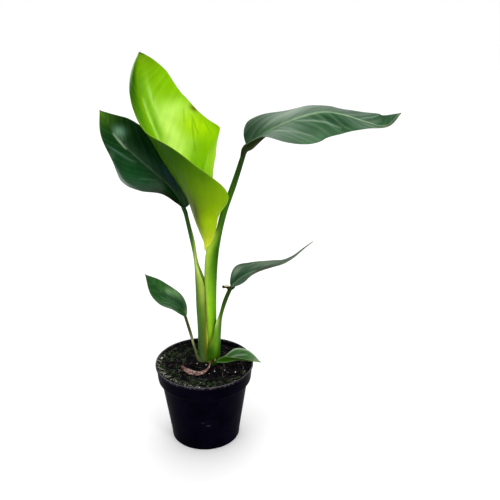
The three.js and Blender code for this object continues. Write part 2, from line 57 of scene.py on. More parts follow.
# ---------- shapes of the leaves ----------
# Each row of numbers is spread evenly from the base of its blade or stalk to its end, in mm or degrees.
# A blade has the path of its midrib, and face, the way its upper side looks. Each half of it has:
#   width: how far it reaches from the midrib
#   fold, curl, lip: its angle at the midrib, how far it bends on its way to the edge, and how much more
#     it bends near the edge
#   tip: the last share of its length, over which it narrows to a point
# rounding is the share of its length over which the base widens, wave the height, number and phase of the
# waves of its edge, and rib the depth and half width of its midrib.
# A stalk is a sheath or a bar that is open on the side away from its keel. keel_radius and side_radius are
# its radii, wrap is how far it reaches round on each side, wall is its thickness, and solid is 1 where it
# is filled up to a shallow gutter.
BLADES = {
    "leaf_a": {
        "rounding": 0.1, "wave": (0.8, 2, 0.2), "rib": (1.6, 1.9),
        "midrib": [
            (-18.4, 28.4, 253), (-31.8, 33, 273), (-47.3, 37, 287.6), (-63.5, 40, 301.5),
            (-78.6, 40, 316.7), (-90.9, 38, 334.3), (-99.3, 34, 354.1),
        ],
        "face": [
            (0.3, -0.85, 0.4), (0.25, -0.85, 0.4), (0.25, -0.85, 0.45), (0.25, -0.85, 0.4),
            (0.3, -0.85, 0.3),
        ],
        "left": {
            "width": [5, 20.5, 31, 31, 21.5, 13, 0], "fold": [58, 50, 28, 10, 15, 10, 5],
            "curl": [0, 0, 0, 5, 10, 5, 0],
        },
        "right": {
            "width": [13, 25, 31, 33, 27.5, 19.5, 0], "fold": [30, 10, 0, 0, 0, 0, 0],
            "curl": [10, 5, 0, 0, 0, 0, 0],
        },
    },
    "leaf_b": {
        "rounding": 0.02, "wave": (0, 2, 0), "rib": (1.6, 2.2),
        "midrib": [
            (6.4, 12, 214.6), (-4.2, 15, 241.3), (-13, 19, 266.7), (-24.8, 24, 289.9), (-36.8, 29, 312.7),
            (-47.3, 34, 335.7), (-55.9, 38, 359.6), (-59.9, 41, 384.3), (-58.1, 41, 409.6),
        ],
        "face": [
            (0.88, -0.17, 0.45), (0.88, -0.2, 0.45), (0.84, -0.33, 0.43), (0.8, -0.54, 0.3),
            (0.6, -0.77, 0.2),
        ],
        "left": {
            "width": [4, 24, 40, 67.5, 65, 63.5, 59, 53, 49, 44.5, 39, 33, 19, 0],
            "fold": [0, 5, 10, 5, 2, 12, 18, 26, 25], "curl": [165, 130, 100, 88, 80, 32, 18, 12, 10],
        },
        "right": {
            "width": [4, 22, 38, 52, 66, 78, 76, 61.5, 52.3, 45.5, 39, 33, 27.5, 21],
            "fold": [0, 0, 0, 8, 16, 14, 16, 24, 22], "curl": [150, 230, 190, 115, 55, 50, 45, 30, 20],
            "lip": [0, 0, 110, 145, 50, 5, 0, 0, 0], "tip": 0.1,
        },
    },
    "leaf_c": {
        "rounding": 0.06, "wave": (0.8, 2.5, 0.1), "rib": (1.8, 2.1),
        "midrib": [
            (45.1, 10, 326.4), (64, 8, 338.2), (81.7, 5, 348.6), (100.1, 2, 356.5), (119.3, 0, 360.9),
            (138.8, -2, 358.3), (157.8, -3, 352.3), (177.1, -2, 347.8), (191.9, 0, 359.8),
        ],
        "face": [(-0.3, -0.28, 0.95), (0, -0.25, 0.95), (0, -0.35, 0.94), (0, -0.2, 0.97), (0, -0.3, 0.95)],
        "left": {
            "width": [24, 32.5, 34, 36, 31.5, 29.5, 23, 16.5, 0],
            "fold": [25, 16, 3, -3, -10, -8, 4, 16, 14], "curl": [-10, -20, -24, -30, -24, -24, -16, 0, 0],
        },
        "right": {
            "width": [10, 22, 32, 34, 31, 24, 16, 9, 0], "fold": [30, 24, 9, -5, -10, -4, 10, 20, 14],
            "curl": [0, 0, -24, -30, -24, -24, -16, 0, 0],
        },
    },
    "leaf_d": {
        "rounding": 0.14, "wave": (0.3, 2, 0), "rib": (1.2, 1.2),
        "midrib": [
            (-19.3, 8, 139), (-28.7, 6, 155.4), (-40.5, 4, 165.6), (-49.6, 1, 179.1), (-58.5, -2, 192.4),
        ],
        "face": [(0.4, -0.8, 0.4), (0.4, -0.8, 0.4), (0.4, -0.8, 0.4)],
        "left": {"width": [3, 9, 11.5, 9.5, 0], "fold": [25, 18, 12, 10, 10], "curl": [0, 0]},
        "right": {"width": [4, 10, 11.5, 7.5, 0], "fold": [35, 22, 14, 10, 10], "curl": [0, 0]},
    },
    "leaf_e": {
        "rounding": 0.1, "wave": (0.3, 2, 0.3), "rib": (1.2, 1.3),
        "midrib": [
            (29.2, 6, 174.6), (37.9, 3, 184.6), (47.9, 0, 192.8), (59.3, -3, 198.4), (71, -5, 202.4),
            (82.6, -7, 207), (93, -8, 214.2), (102.6, -9, 223.8), (111.6, -10, 232.2),
        ],
        "face": [(-0.4, -0.3, 0.8), (-0.3, -0.2, 0.9), (-0.1, -0.1, 1), (-0.2, 0, 1), (-0.3, 0, 1)],
        "left": {
            "width": [9, 16.8, 16, 14.5, 12.8, 8.5, 4.5, 2, 0.6], "fold": [20, 20, 5, 2, 2, 2, 5, 10, 10],
            "curl": [0, 0],
        },
        "right": {
            "width": [3, 10, 15, 16, 12.5, 7, 4, 2, 0.6], "fold": [10, 4, 0, 5, 8, 10, 10, 10, 10],
            "curl": [0, 0, 20, 50, 50, 30, 10, 0, 0],
        },
    },
    "leaf_f": {
        "rounding": 0.14, "wave": (0.6, 1.5, 0), "rib": (1.2, 1.1),
        "midrib": [
            (13.3, -2.8, 89.9), (22.9, -3.5, 89.6), (35.5, -5, 93.3), (48.2, -7, 93.2), (60.7, -9, 92.5),
        ],
        "face": [(-0.1, 0, 1), (0, 0, 1), (0.1, 0, 1)],
        "left": {"width": [2.5, 7.5, 12.5, 10, 0], "fold": [40, 42, 45, 40, 30], "curl": [0, 0]},
        "right": {"width": [4, 10, 11, 8, 0], "fold": [62, 66, 45, 34, 30], "curl": [0, 0]},
    },
}

STALKS = {
    "leaf_b": {
        "path": [(5.4, 11, 68), (6, 11, 104.4), (6.4, 11, 140.8), (6.7, 11, 177.2), (7.6, 11.3, 213.8)],
        "keel": [(-1, 0.2, 0), (-1, 0.2, 0)],
        "keel_radius": [3.2, 3.4, 3.4, 3.6, 3.5], "side_radius": [3.2, 3.4, 3.4, 3.6, 3.5],
        "wrap": [150, 150], "wall": [1.2, 1.2], "solid": [1, 1],
    },
    "leaf_c": {
        "path": [
            (5.4, 11, 68), (6.4, 11, 105), (7, 11, 142), (7.8, 11, 179), (10.9, 11.6, 215), (21.4, 14, 251),
            (33.6, 12.6, 287), (45.2, 10.4, 324.6),
        ],
        "keel": [(1, -0.3, 0), (1, -0.3, -0.1), (1, 0, -0.4), (1, 0, -0.8)],
        "keel_radius": [6.8, 6.6, 6.4, 6.6, 6.6, 3.6, 3.1, 2.4],
        "side_radius": [6.2, 6, 5.8, 5.8, 5.4, 3.5, 3, 2.4],
        "wrap": [168, 168, 168, 168, 168, 168, 168, 166, 155, 108, 140, 150, 150, 150, 150],
        "wall": [2.8, 2.6, 2.4, 2.4, 2.2, 1.6, 1.3, 1.1],
        "solid": [0, 0, 0, 0, 0, 0, 0, 0, 0, 0.6, 1, 1, 1, 1, 1],
    },
    "leaf_a": {
        "path": [
            (1.6, 11, 68), (1.2, 11, 95), (0.9, 11.5, 122.5), (0, 12.5, 149), (-0.8, 14.5, 175),
            (-5.8, 18.5, 201.5), (-12.6, 23.5, 228), (-18, 27.8, 251.4),
        ],
        "keel": [(-1, -0.1, 0), (-1, 0, 0), (-1, 0.3, -0.2)],
        "keel_radius": [8.6, 8.4, 8, 8, 7.6, 4, 2.4, 2.1],
        "side_radius": [7.8, 7.6, 7.4, 7.6, 7.4, 4.2, 2.3, 2],
        "wrap": [120, 114, 108, 106, 106, 76, 140, 150], "wall": [2.6, 2.6, 2.6, 2.6, 2.4, 1.8, 1.2, 1.2],
        "solid": [0, 0, 0, 0, 0, 0.4, 1, 1],
    },
    "leaf_e": {
        "path": [
            (7, 10.5, 68), (7, 10.5, 87), (7.6, 10, 105), (11.5, 8.5, 122), (17.3, 6.5, 139.5),
            (22.4, 6, 157), (28.9, 6, 173.6),
        ],
        "keel": [(1, -0.3, 0), (1, -0.2, -0.3), (1, 0, -0.6)],
        "keel_radius": [9.4, 9.6, 9.8, 7, 2.6, 2.3, 2.2], "side_radius": [9, 9, 8.8, 6, 2.5, 2.3, 2.2],
        "wrap": [110, 105, 98, 88, 130, 150, 150], "wall": [2.2, 2.2, 2, 1.8, 1.2, 1.1, 1],
        "solid": [0, 0, 0, 0.2, 1, 1, 1],
    },
    "leaf_d": {
        "path": [
            (1.2, 10.5, 68), (0.6, 10.3, 78), (-3, 9, 87), (-8.2, 7.5, 95.6), (-10.7, 7, 104),
            (-13, 7.5, 112.7), (-15.2, 8, 121), (-17.6, 8, 130.5), (-19.4, 8, 137.9),
        ],
        "keel": [(-1, 0, 0), (-1, 0, -0.3)],
        "keel_radius": [10.6, 9.8, 6.4, 2.6, 1.9, 1.8, 1.7, 1.6, 1.6],
        "side_radius": [9.2, 8.8, 6, 2.6, 1.9, 1.8, 1.7, 1.6, 1.6],
        "wrap": [95, 92, 88, 100, 130, 150, 150], "wall": [2, 2, 1.8, 1.4, 1.1, 1, 1],
        "solid": [0, 0, 0, 0.6, 1, 1, 1],
    },
    "leaf_f": {
        "path": [(8.5, -0.9, 68), (8.7, -1, 76), (9.3, -1.5, 84), (11.8, -2.6, 89.2)],
        "keel": [(1, -0.3, 0), (0.6, 0, -0.6)],
        "keel_radius": [1.9, 1.9, 1.7, 1.4], "side_radius": [1.9, 1.9, 1.7, 1.4], "wrap": [150, 150],
        "wall": [1.1, 1], "solid": [1, 1],
    },
}

# ---------- looks of the leaves ----------
# Each face has its colour, its patches and its streaks. A patch is a soft spot: (t, v, half length in t,
# half width in v, colour, strength). t runs from the base of the blade or stalk to its tip, and v across
# it, from -1 at the left edge to 1 at the right. A streak is a soft line: ((t, v) of its start, (t, v) of
# its end, width in mm, colour, strength).
# rows and columns count the points along a leaf and across each half. pleat is the depth and spacing of
# its side veins, and acute how much they lean to the tip. haze is the colour of a pale sheen painted on the
# upper face in bands along the veins, and painted_sheen_most its strength.
# tone is the contrast of the streaks in its skin, rough, coat and gloss are its shine, glow is how much
# light goes into it, and rib_fade is the t where the colour of its midrib ends.
LEAF_LOOKS = {
    "leaf_a": {
        "midrib": "#44603c", "margin": "#3f6a34", "painted_sheen": "#5f806a", "rows": 170, "columns": 48,
        "pleat": (0.07, 8), "acute": 1.6, "painted_sheen_most": 0.12, "tone": 0.1, "rough": 0.3, "coat": 0.12,
        "glow": 0.03, "rib_fade": 0.85,
        "upper": {
            "colour": "#123a18",
            "patches": [
                # The near-black patch #021c05 on the right half is painted shade, where leaf B shades it.
                (0.45, 0.6, 0.7, 0.55, "#021c05", 0.97), (0.52, 0.08, 0.22, 0.18, "#2a4430", 0.55),
                (0.84, 0.15, 0.14, 0.6, "#184806", 0.8), (1, -0.1, 0.11, 1.4, "#4c7c08", 0.9),
                # The grey-green patch #74a080 is a painted highlight.
                (0.77, 0.26, 0.05, 0.22, "#74a080", 0.9), (0.69, -0.8, 0.03, 0.2, "#4c6c50", 0.8),
                (0.09, 0.3, 0.07, 0.35, "#1e4408", 0.8), (0.22, 0.3, 0.12, 0.25, "#142838", 0.6),
                (0.45, -0.55, 0.25, 0.35, "#154a20", 0.7), (0.75, -0.6, 0.12, 0.4, "#0c3410", 0.6),
                # The pale patch #a8b8ac at the left edge is a painted highlight on the margin.
                (0.3, -0.85, 0.2, 0.2, "#2c4c38", 0.6), (0.5, -0.98, 0.1, 0.07, "#a8b8ac", 0.7),
                (0.12, -0.8, 0.14, 0.2, "#1c1206", 0.9),
            ],
            "streaks": [
                # The first streak, #a8c8a0, is a painted glint of light along the midrib.
                ((0.62, -0.04), (0.8, -0.02), 1, "#a8c8a0", 0.97),
                ((0.5, -0.15), (0.78, -0.9), 1.3, "#4c6c58", 0.7),
                ((0.28, -0.2), (0.42, -0.6), 0.8, "#426450", 0.6),
                ((0.35, 0), (0.62, 0), 1, "#3c5840", 0.7), ((0.2, 0.15), (0.62, 0.8), 0.9, "#0c3a10", 0.6),
                ((0.1, 0.2), (0.45, 0.85), 0.9, "#123c16", 0.6),
            ],
        },
        "lower": {"colour": "#34401a"},
    },
    "leaf_b": {
        "midrib": "#b0e048", "margin": "#94b030", "painted_sheen": "#c8ec60", "rows": 230, "columns": 68,
        "pleat": (0.06, 7.5), "acute": 0.9, "painted_sheen_most": 0.1, "tone": 0.06, "rough": 0.3, "coat": 0.02,
        "glow": 0.2, "gloss": 0.015, "rib_fade": 0.84, "tip": "#4c7008",
        "upper": {
            "colour": "#96cc04",
            "patches": [
                (0.72, -0.5, 0.3, 0.42, "#4c9004", 0.9), (0.8, -1, 0.2, 0.45, "#1c5402", 0.95),
                # The greyish patch #b0c8a4 at the left edge near the tip is a painted highlight.
                (0.87, -0.62, 0.14, 0.48, "#184600", 0.98), (0.94, -1, 0.06, 0.2, "#b0c8a4", 0.95),
                (0.9, 0.45, 0.14, 0.6, "#80b806", 0.8), (1, 0.3, 0.06, 1.2, "#648808", 0.9),
                # The pale lime patches #c0ec64, #d4fc78 and #d8fc78 are pale tissue with a painted sheen on
                # it.
                (0.84, 0, 0.07, 0.1, "#649c18", 0.8), (0.74, 0.24, 0.1, 0.06, "#c0ec64", 0.9),
                (0.7, 0.13, 0.16, 0.1, "#74b404", 0.75), (0.66, 0.62, 0.06, 0.3, "#d4fc78", 0.85),
                (0.57, 0.34, 0.11, 0.17, "#d8fc78", 0.95), (0.62, 0.08, 0.07, 0.05, "#70a804", 0.8),
                (0.48, 0.22, 0.07, 0.18, "#d8fc78", 0.95), (0.53, 0.76, 0.13, 0.28, "#c4ea10", 0.9),
                (0.52, 1, 0.14, 0.1, "#9cc810", 0.8), (0.4, 0.5, 0.1, 0.3, "#b0e00c", 0.7),
                (0.64, 0.97, 0.02, 0.06, "#5c4818", 0.9),
            ],
            "streaks": [
                # The first streak, #b8e468, is the pale midrib, brightened by a painted highlight.
                ((0.78, 0.02), (0.54, 0), 2, "#b8e468", 0.9),
                ((0.42, 0.42), (0.6, 0.82), 0.6, "#6ca404", 0.8),
                ((0.5, 0.62), (0.62, 0.86), 0.6, "#74ac04", 0.8),
                ((0.46, 0.75), (0.56, 0.92), 0.6, "#74ac04", 0.6),
                ((0.58, 0.6), (0.66, 0.82), 0.9, "#84b808", 0.6),
                ((0.72, 0.24), (0.8, 0.34), 0.6, "#74b008", 0.6),
            ],
        },
        "lower": {
            "colour": "#3a5e02",
            "patches": [
                # The flap's dark upper patches and brighter lower patches are painted shade and painted
                # light on its own green.
                (0.5, -0.8, 0.22, 0.8, "#224602", 0.97), (0.35, -0.5, 0.1, 0.4, "#2e5002", 0.8),
                (0.25, -1, 0.1, 0.45, "#6c9206", 0.95), (0.35, -0.94, 0.07, 0.2, "#3c6402", 0.7),
                (0.12, -0.75, 0.1, 0.5, "#90b208", 0.95), (0.2, -0.34, 0.09, 0.12, "#3e4002", 0.9),
                (0, 0, 0.07, 2, "#d4e038", 0.95), (0.37, 0.85, 0.14, 0.45, "#98cc20", 0.95),
            ],
            "streaks": [
                ((0.5, -0.08), (0.05, -0.08), 0.9, "#5c7c18", 0.7),
                ((0.45, -0.4), (0.2, -0.5), 0.7, "#3c5c04", 0.5),
                ((0.38, -0.3), (0.12, -0.3), 0.7, "#384c04", 0.5),
            ],
        },
    },
    "leaf_c": {
        "midrib": "#7c9c74", "margin": "#5c705c", "painted_sheen": "#748c76", "rows": 190, "columns": 48,
        "pleat": (0.2, 13), "acute": 1.15, "painted_sheen_most": 0.42, "tone": 0.16, "rough": 0.36, "coat": 0.15,
        "glow": 0.04,
        "upper": {
            "colour": "#2f5634",
            "patches": [
                # The grey patches #8c9c8c, #708872 and #647868 are a painted sheen.
                (0.02, -0.6, 0.12, 0.8, "#06300c", 0.97), (0.29, -0.6, 0.13, 0.4, "#8c9c8c", 0.75),
                (0.28, 0.45, 0.1, 0.3, "#708872", 0.5), (0.2, 0.85, 0.14, 0.3, "#647868", 0.6),
                (0.45, 0.85, 0.1, 0.2, "#4c704c", 0.7), (0.66, -0.6, 0.12, 0.5, "#1e4428", 0.8),
                (0.62, 0.35, 0.12, 0.35, "#1c4826", 0.8), (0.86, -0.3, 0.08, 0.8, "#22502c", 0.7),
                (0.9, 0.9, 0.06, 0.25, "#988878", 0.7), (1, 0, 0.02, 2, "#806858", 0.8),
            ],
            "streaks": [
                ((0.1, 0), (0.55, 0), 1.7, "#80a074", 0.9), ((0.55, 0), (0.9, 0), 0.9, "#98bc88", 0.9),
                # The next four grey streaks are a painted sheen along the pleats.
                ((0.3, 0.1), (0.62, 0.75), 1.1, "#7c987c", 0.8),
                ((0.12, 0.3), (0.42, 0.8), 1, "#809080", 0.7),
                ((0.12, -0.2), (0.36, -0.8), 1.4, "#7c9474", 0.6),
                ((0.22, -0.15), (0.46, -0.7), 1.2, "#749070", 0.6),
                # The last two dark streaks are painted shade in the folds between the pleats.
                ((0.48, 0.15), (0.66, 0.7), 1.5, "#12381c", 0.8),
                ((0.3, -0.1), (0.62, -0.7), 1.2, "#20442a", 0.6),
            ],
        },
        "lower": {"colour": "#26300e"},
    },
    "leaf_d": {
        "midrib": "#2c5030", "margin": "#64785c", "painted_sheen": "#587a54", "rows": 90, "columns": 26,
        "pleat": (0.07, 4), "acute": 1.2, "painted_sheen_most": 0.3, "tone": 0.16, "rough": 0.34, "coat": 0.12,
        "glow": 0.04,
        "upper": {
            "colour": "#1e4a1c",
            "patches": [
                (0.36, 0.75, 0.13, 0.35, "#5c8050", 0.9), (0.5, 0.5, 0.1, 0.25, "#688c5c", 0.9),
                (0.68, 0.35, 0.12, 0.35, "#1e5c04", 0.9), (0.04, 0.9, 0.05, 0.5, "#7c8468", 0.9),
                (0.3, -0.9, 0.25, 0.2, "#58705a", 0.7), (0.75, -0.4, 0.18, 0.6, "#144410", 0.8),
                (0.2, 0.35, 0.12, 0.3, "#0a3212", 0.85), (1, 0, 0.05, 2, "#4c4c34", 0.8),
            ],
            "streaks": [
                ((0.15, 0.2), (0.6, 0.12), 1.4, "#0c3614", 0.8),
                ((0.15, -0.3), (0.5, -0.6), 0.6, "#587a58", 0.6),
                ((0.2, -0.1), (0.6, -0.35), 0.6, "#4c7050", 0.6),
            ],
        },
        "lower": {"colour": "#34481c"},
    },
    "leaf_e": {
        "midrib": "#6c8464", "margin": "#5c6858", "painted_sheen": "#687c68", "rows": 120, "columns": 26,
        "pleat": (0.07, 4.5), "acute": 1.2, "painted_sheen_most": 0.4, "tone": 0.16, "rough": 0.36, "coat": 0.12,
        "glow": 0.04,
        "upper": {
            "colour": "#274a2c",
            "patches": [
                # The pale patch #8ca088 on the left half is a painted highlight.
                (0.12, -0.6, 0.06, 0.3, "#8ca088", 0.85), (0.1, -0.2, 0.14, 0.35, "#103a1c", 0.85),
                (0.3, -0.2, 0.15, 0.3, "#1e482c", 0.6), (0.45, -0.7, 0.15, 0.35, "#68785f", 0.7),
                (0.75, 0, 0.2, 2, "#505a4c", 0.7), (1, 0, 0.12, 2, "#6c685c", 0.9),
            ],
            "streaks": [
                ((0.1, -0.75), (0.4, -0.9), 0.7, "#707c70", 0.7),
                ((0.25, -0.4), (0.6, -0.5), 0.8, "#64786a", 0.6),
            ],
        },
        "lower": {"colour": "#20240a"},
    },
    "leaf_f": {
        "midrib": "#68904c", "margin": "#84a068", "painted_sheen": "#6c9460", "rows": 80, "columns": 26,
        "pleat": (0.06, 4), "acute": 1.2, "painted_sheen_most": 0.24, "tone": 0.16, "rough": 0.36, "coat": 0.12,
        "glow": 0.06,
        "upper": {
            "colour": "#2c5a20",
            "patches": [
                (0.2, -0.5, 0.15, 0.8, "#3c680c", 0.8), (0.62, -0.2, 0.15, 0.4, "#204a24", 0.6),
                (0.85, 0, 0.14, 1, "#608454", 0.7), (1, 0, 0.12, 2, "#98988a", 0.9),
                # The pale strip #a8bca0 along the far edge is a painted highlight.
                (0.5, -0.98, 0.3, 0.12, "#a8bca0", 0.8),
            ],
            "streaks": [
                ((0.25, -0.3), (0.7, -0.6), 0.9, "#94a88c", 0.6),
                ((0.2, 0.6), (0.9, 0.4), 1, "#5c8450", 0.6),
            ],
        },
        "lower": {
            "colour": "#285408",
            "patches": [
                (0.25, 0.5, 0.25, 0.6, "#346c02", 0.9), (0.5, 0.95, 0.3, 0.2, "#5c8440", 0.8),
                (1, 0, 0.15, 2, "#98a088", 0.9),
            ],
        },
    },
}

STALK_LOOKS = {
    "leaf_a": {
        "edge": "#6c7838", "rows": 150,
        "outer": {
            "colour": "#3c6c14",
            "patches": [
                (0.95, 0.3, 0.22, 2, "#1c4414", 0.95), (0.66, 0.95, 0.09, 0.4, "#c4e070", 0.95),
                (0.53, 0.78, 0.13, 0.3, "#9cb440", 0.9), (0.6, 0, 0.4, 0.3, "#284a14", 0.85),
                (0.45, 1, 0.1, 0.1, "#5c4428", 0.7), (0.38, 0.55, 0.12, 0.3, "#406c10", 0.6),
                (0.17, 0.4, 0.15, 0.4, "#486430", 0.9), (0.2, 0.84, 0.18, 0.16, "#5c6008", 0.85),
                (0.16, 0.97, 0.13, 0.12, "#9c9c10", 0.9), (0.23, 1, 0.07, 0.08, "#b4cc48", 0.85),
                (0.05, 0.4, 0.07, 0.5, "#64804c", 0.8),
            ],
        },
        "inner": {"colour": "#a0c040"},
    },
    "leaf_b": {
        "edge": "#b0a850", "rows": 60,
        "outer": {
            "colour": "#a8c030",
            "patches": [(1, 0, 0.1, 2, "#c8dc30", 0.9)],
        },
        "inner": {"colour": "#c8e050"},
    },
    "leaf_c": {
        "edge": "#98b048", "rows": 200,
        "outer": {
            "colour": "#589410",
            "patches": [
                (0.88, 0, 0.24, 2, "#1c4c08", 0.95), (0.95, 0, 0.13, 2, "#18280e", 0.9),
                # The pale yellow patches down the left side (v near -0.7) are the sheath's own colour with
                # a painted highlight band on it.
                (1, 0, 0.05, 2, "#1a2806", 0.9), (0.48, -0.75, 0.2, 0.22, "#94bc30", 0.9),
                (0.57, -0.9, 0.06, 0.26, "#a8cc38", 0.95), (0.56, -0.24, 0.16, 0.3, "#265402", 0.97),
                (0.69, 0, 0.08, 2, "#2a5804", 0.95), (0.42, -0.14, 0.12, 0.2, "#305e04", 0.9),
                (0.28, -0.7, 0.12, 0.16, "#b0d058", 0.9), (0.28, -0.45, 0.13, 0.2, "#94cc18", 0.9),
                (0.29, -0.2, 0.12, 0.18, "#5e9804", 0.9), (0.45, -0.97, 0.12, 0.05, "#644428", 0.9),
                (0.62, -1, 0.03, 0.08, "#d8e8b0", 0.9), (0.12, -0.7, 0.1, 0.3, "#8c9c1c", 0.85),
                (0.17, -0.73, 0.06, 0.12, "#b8d048", 0.9),
            ],
        },
        "inner": {
            "colour": "#a8d428",
            "patches": [(0.7, 0, 0.1, 2, "#2a5804", 0.95)],
        },
    },
    "leaf_d": {
        "edge": "#5c6440", "rows": 90,
        "outer": {
            "colour": "#4c5028",
            "patches": [
                (0.9, 0.3, 0.24, 1.2, "#38380e", 0.9), (0.58, 0.7, 0.09, 0.5, "#9ca070", 0.85),
                (0.34, 0.6, 0.14, 0.7, "#647848", 0.85),
            ],
        },
        "inner": {"colour": "#6c8044"},
    },
    "leaf_e": {
        "edge": "#5c8430", "rows": 110,
        "outer": {
            "colour": "#346404",
            "patches": [
                (1, 0, 0.36, 2, "#1a2a06", 0.97), (0.68, -0.3, 0.09, 2, "#386404", 0.7),
                (0.6, -0.95, 0.06, 0.3, "#c8dc80", 0.95), (0.5, -0.78, 0.1, 0.22, "#64a01c", 0.85),
                (0.45, -1, 0.08, 0.1, "#6c5830", 0.6), (0.38, -0.55, 0.14, 0.28, "#6c9c2c", 0.85),
                (0.29, -0.8, 0.12, 0.25, "#2a5804", 0.9), (0.4, -0.8, 0.06, 0.15, "#6c9010", 0.7),
            ],
        },
        "inner": {"colour": "#7cb028"},
    },
    "leaf_f": {
        "edge": "#5a8040", "rows": 30,
        "outer": {"colour": "#1c4808"},
        "inner": {"colour": "#3a7a14"},
    },
}

# The neck where a stalk runs on as the midrib under its blade: how far it reaches along the blade, its
# radii from the stalk to its end, and its colours at both ends.
NECKS = {
    "leaf_a": {"reach": 0.14, "radii": [2, 2.3, 2.2, 1.6, 0.8, 0.3], "colours": ("#1c4414", "#284420")},
    "leaf_b": {"reach": 0.08, "radii": [2.4, 2.4, 2.2, 1.5, 0.8, 0.3], "colours": ("#b0cc3c", "#c8d830")},
    "leaf_c": {"reach": 0.2, "radii": [2.3, 3.4, 4.3, 3.4, 2, 0.5], "colours": ("#182404", "#202a06")},
    "leaf_d": {"reach": 0.12, "radii": [1.5, 1.6, 1.5, 1.1, 0.6, 0.2], "colours": ("#38380e", "#586830")},
    "leaf_e": {"reach": 0.12, "radii": [2.1, 2.3, 2.2, 1.6, 0.8, 0.3], "colours": ("#182806", "#222e0c")},
    "leaf_f": {"reach": 0.14, "radii": [1.3, 1.4, 1.3, 0.9, 0.5, 0.2], "colours": ("#1c4808", "#2c5c0c")},
}
DRY_TIP = "#6a4a2a"


# ---------- numbers and colours ----------
def along(keys, t):
    """Smooth values along evenly spaced keys (a Catmull-Rom spline), t from 0 to 1."""
    keys = np.asarray(keys, float)
    last = len(keys) - 1
    x = np.clip(np.atleast_1d(t), 0, 1) * last
    i = np.minimum(x.astype(int), last - 1)
    u = x - i
    if keys.ndim == 2:
        u = u[:, None]
    keys = np.concatenate([[2 * keys[0] - keys[1]], keys, [2 * keys[-1] - keys[-2]]])
    a, b, c, d = (keys[i + k] for k in range(4))
    return b + 0.5 * u * (c - a + u * (2 * a - 5 * b + 4 * c - d + u * (3 * (b - c) + d - a)))


def unit(vectors):
    return vectors / np.maximum(np.linalg.norm(vectors, axis=-1, keepdims=True), 1e-12)


def bell(x):
    """1 at zero, falling off smoothly on both sides."""
    return np.exp(-(x**2))


def frames(points, uprights, t):
    """Place, upright and sideways directions of a path at each t."""
    step = 0.004
    ahead = unit(along(points, np.minimum(t + step, 1)) - along(points, np.maximum(t - step, 0)))
    up = along(uprights, t)
    up = unit(up - ahead * np.sum(up * ahead, axis=-1, keepdims=True))
    return along(points, t), up, np.cross(ahead, up)


def run_along(path, t):
    """How far along a path each t lies, in mm, as a column."""
    steps = np.linalg.norm(np.diff(along(path, t), axis=0), axis=1)
    return np.concatenate([[0], np.cumsum(steps)])[:, None]


def lumps(points, size, seed=0):
    """Smooth noise, about -1 to 1, at each point of an array, in lumps of about that size."""
    flat = np.asarray(points, float).reshape(-1, 3) / size + 17.3 * seed
    return np.array([noise.noise(Vector(p)) for p in flat]).reshape(np.shape(points)[:-1])


def linear(colour):
    """The linear red, green and blue of a colour written as #rrggbb."""
    parts = [int(colour[i:i + 2], 16) / 255 for i in (1, 3, 5)]
    return np.array([c / 12.92 if c < 0.04045 else ((c + 0.055) / 1.055) ** 2.4 for c in parts])


def rgba(colour):
    return (*linear(colour), 1.0)


def blend_to(colours, target, weight):
    return colours + (linear(target) - colours) * np.clip(weight, 0, 1)[..., None]


# ---------- meshes ----------
def mesh_object(name, points, faces, material, values=None, smooth=True):
    """An object from points in millimetres, faces, and values or colours at the points."""
    mesh = bpy.data.meshes.new(name)
    mesh.from_pydata((np.asarray(points) * MM).tolist(), [], [list(map(int, face)) for face in faces])
    for key, value in (values or {}).items():
        value = np.asarray(value, np.float32)
        if value.ndim == 1:
            mesh.attributes.new(key, "FLOAT", "POINT").data.foreach_set("value", value)
        else:
            colours = np.concatenate([value, np.ones((len(value), 1), np.float32)], axis=1)
            mesh.attributes.new(key, "FLOAT_COLOR", "POINT").data.foreach_set("color", colours.ravel())
    mesh.polygons.foreach_set("use_smooth", [smooth] * len(mesh.polygons))
    mesh.materials.append(material)
    mesh.validate()
    mesh.update()
    made = bpy.data.objects.new(name, mesh)
    bpy.context.scene.collection.objects.link(made)
    return made


def add_piece(name, points, faces, values, material, slot, *nodes):
    """A piece of the plant, and the nodes that it takes the place of. The slot is not used."""
    made = mesh_object(name, points, faces, material, values)
    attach(made, "root")
    if nodes:
        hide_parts(*nodes)
    return made


def add_sheets(name, sheets, colours, values, material, node_name):
    """A piece that is the closed solid between two sheets of points.

    The first sheet is on the side that columns cross rows: the upper side of a blade, the outside of a
    stalk, and the inside of the husk's roll.
    """
    rows, columns = sheets[0].shape[:2]
    grid = np.arange(rows * columns).reshape(rows, columns)
    upper = np.stack([grid[:-1, :-1], grid[:-1, 1:], grid[1:, 1:], grid[1:, :-1]], axis=-1).reshape(-1, 4)
    edge = np.concatenate([grid[0, :-1], grid[:-1, -1], grid[-1, :0:-1], grid[:0:-1, 0]])
    after = np.roll(edge, -1)
    margin = np.stack([edge, edge + grid.size, after + grid.size, after], axis=1)
    faces = np.concatenate([upper, upper[:, ::-1] + grid.size, margin])
    values = {key: np.tile(value.ravel(), 2) for key, value in values.items()}
    values.update(tint=colours.reshape(-1, 3), face=np.repeat([1.0, 0.0], grid.size))
    points = np.concatenate(sheets).reshape(-1, 3)
    add_piece(name, points, faces, values, material, node_name, node_name)


def ring_faces(rings, sides):
    """Faces that join each ring of points to the next."""
    a = np.arange(rings * sides).reshape(rings, sides)
    b = np.roll(a, -1, axis=1)
    return np.stack([a[:-1], b[:-1], b[1:], a[1:]], axis=-1).reshape(-1, 4)


def lathe(profile, sides):
    """Points and faces of a profile turned round the Z axis."""
    turns = np.arange(sides) * TURN / sides
    radius, height = np.array(profile, float).T[..., None]
    points = np.stack([radius * np.cos(turns), radius * np.sin(turns), height + 0 * turns], axis=-1)
    return points.reshape(-1, 3), ring_faces(len(profile), sides)


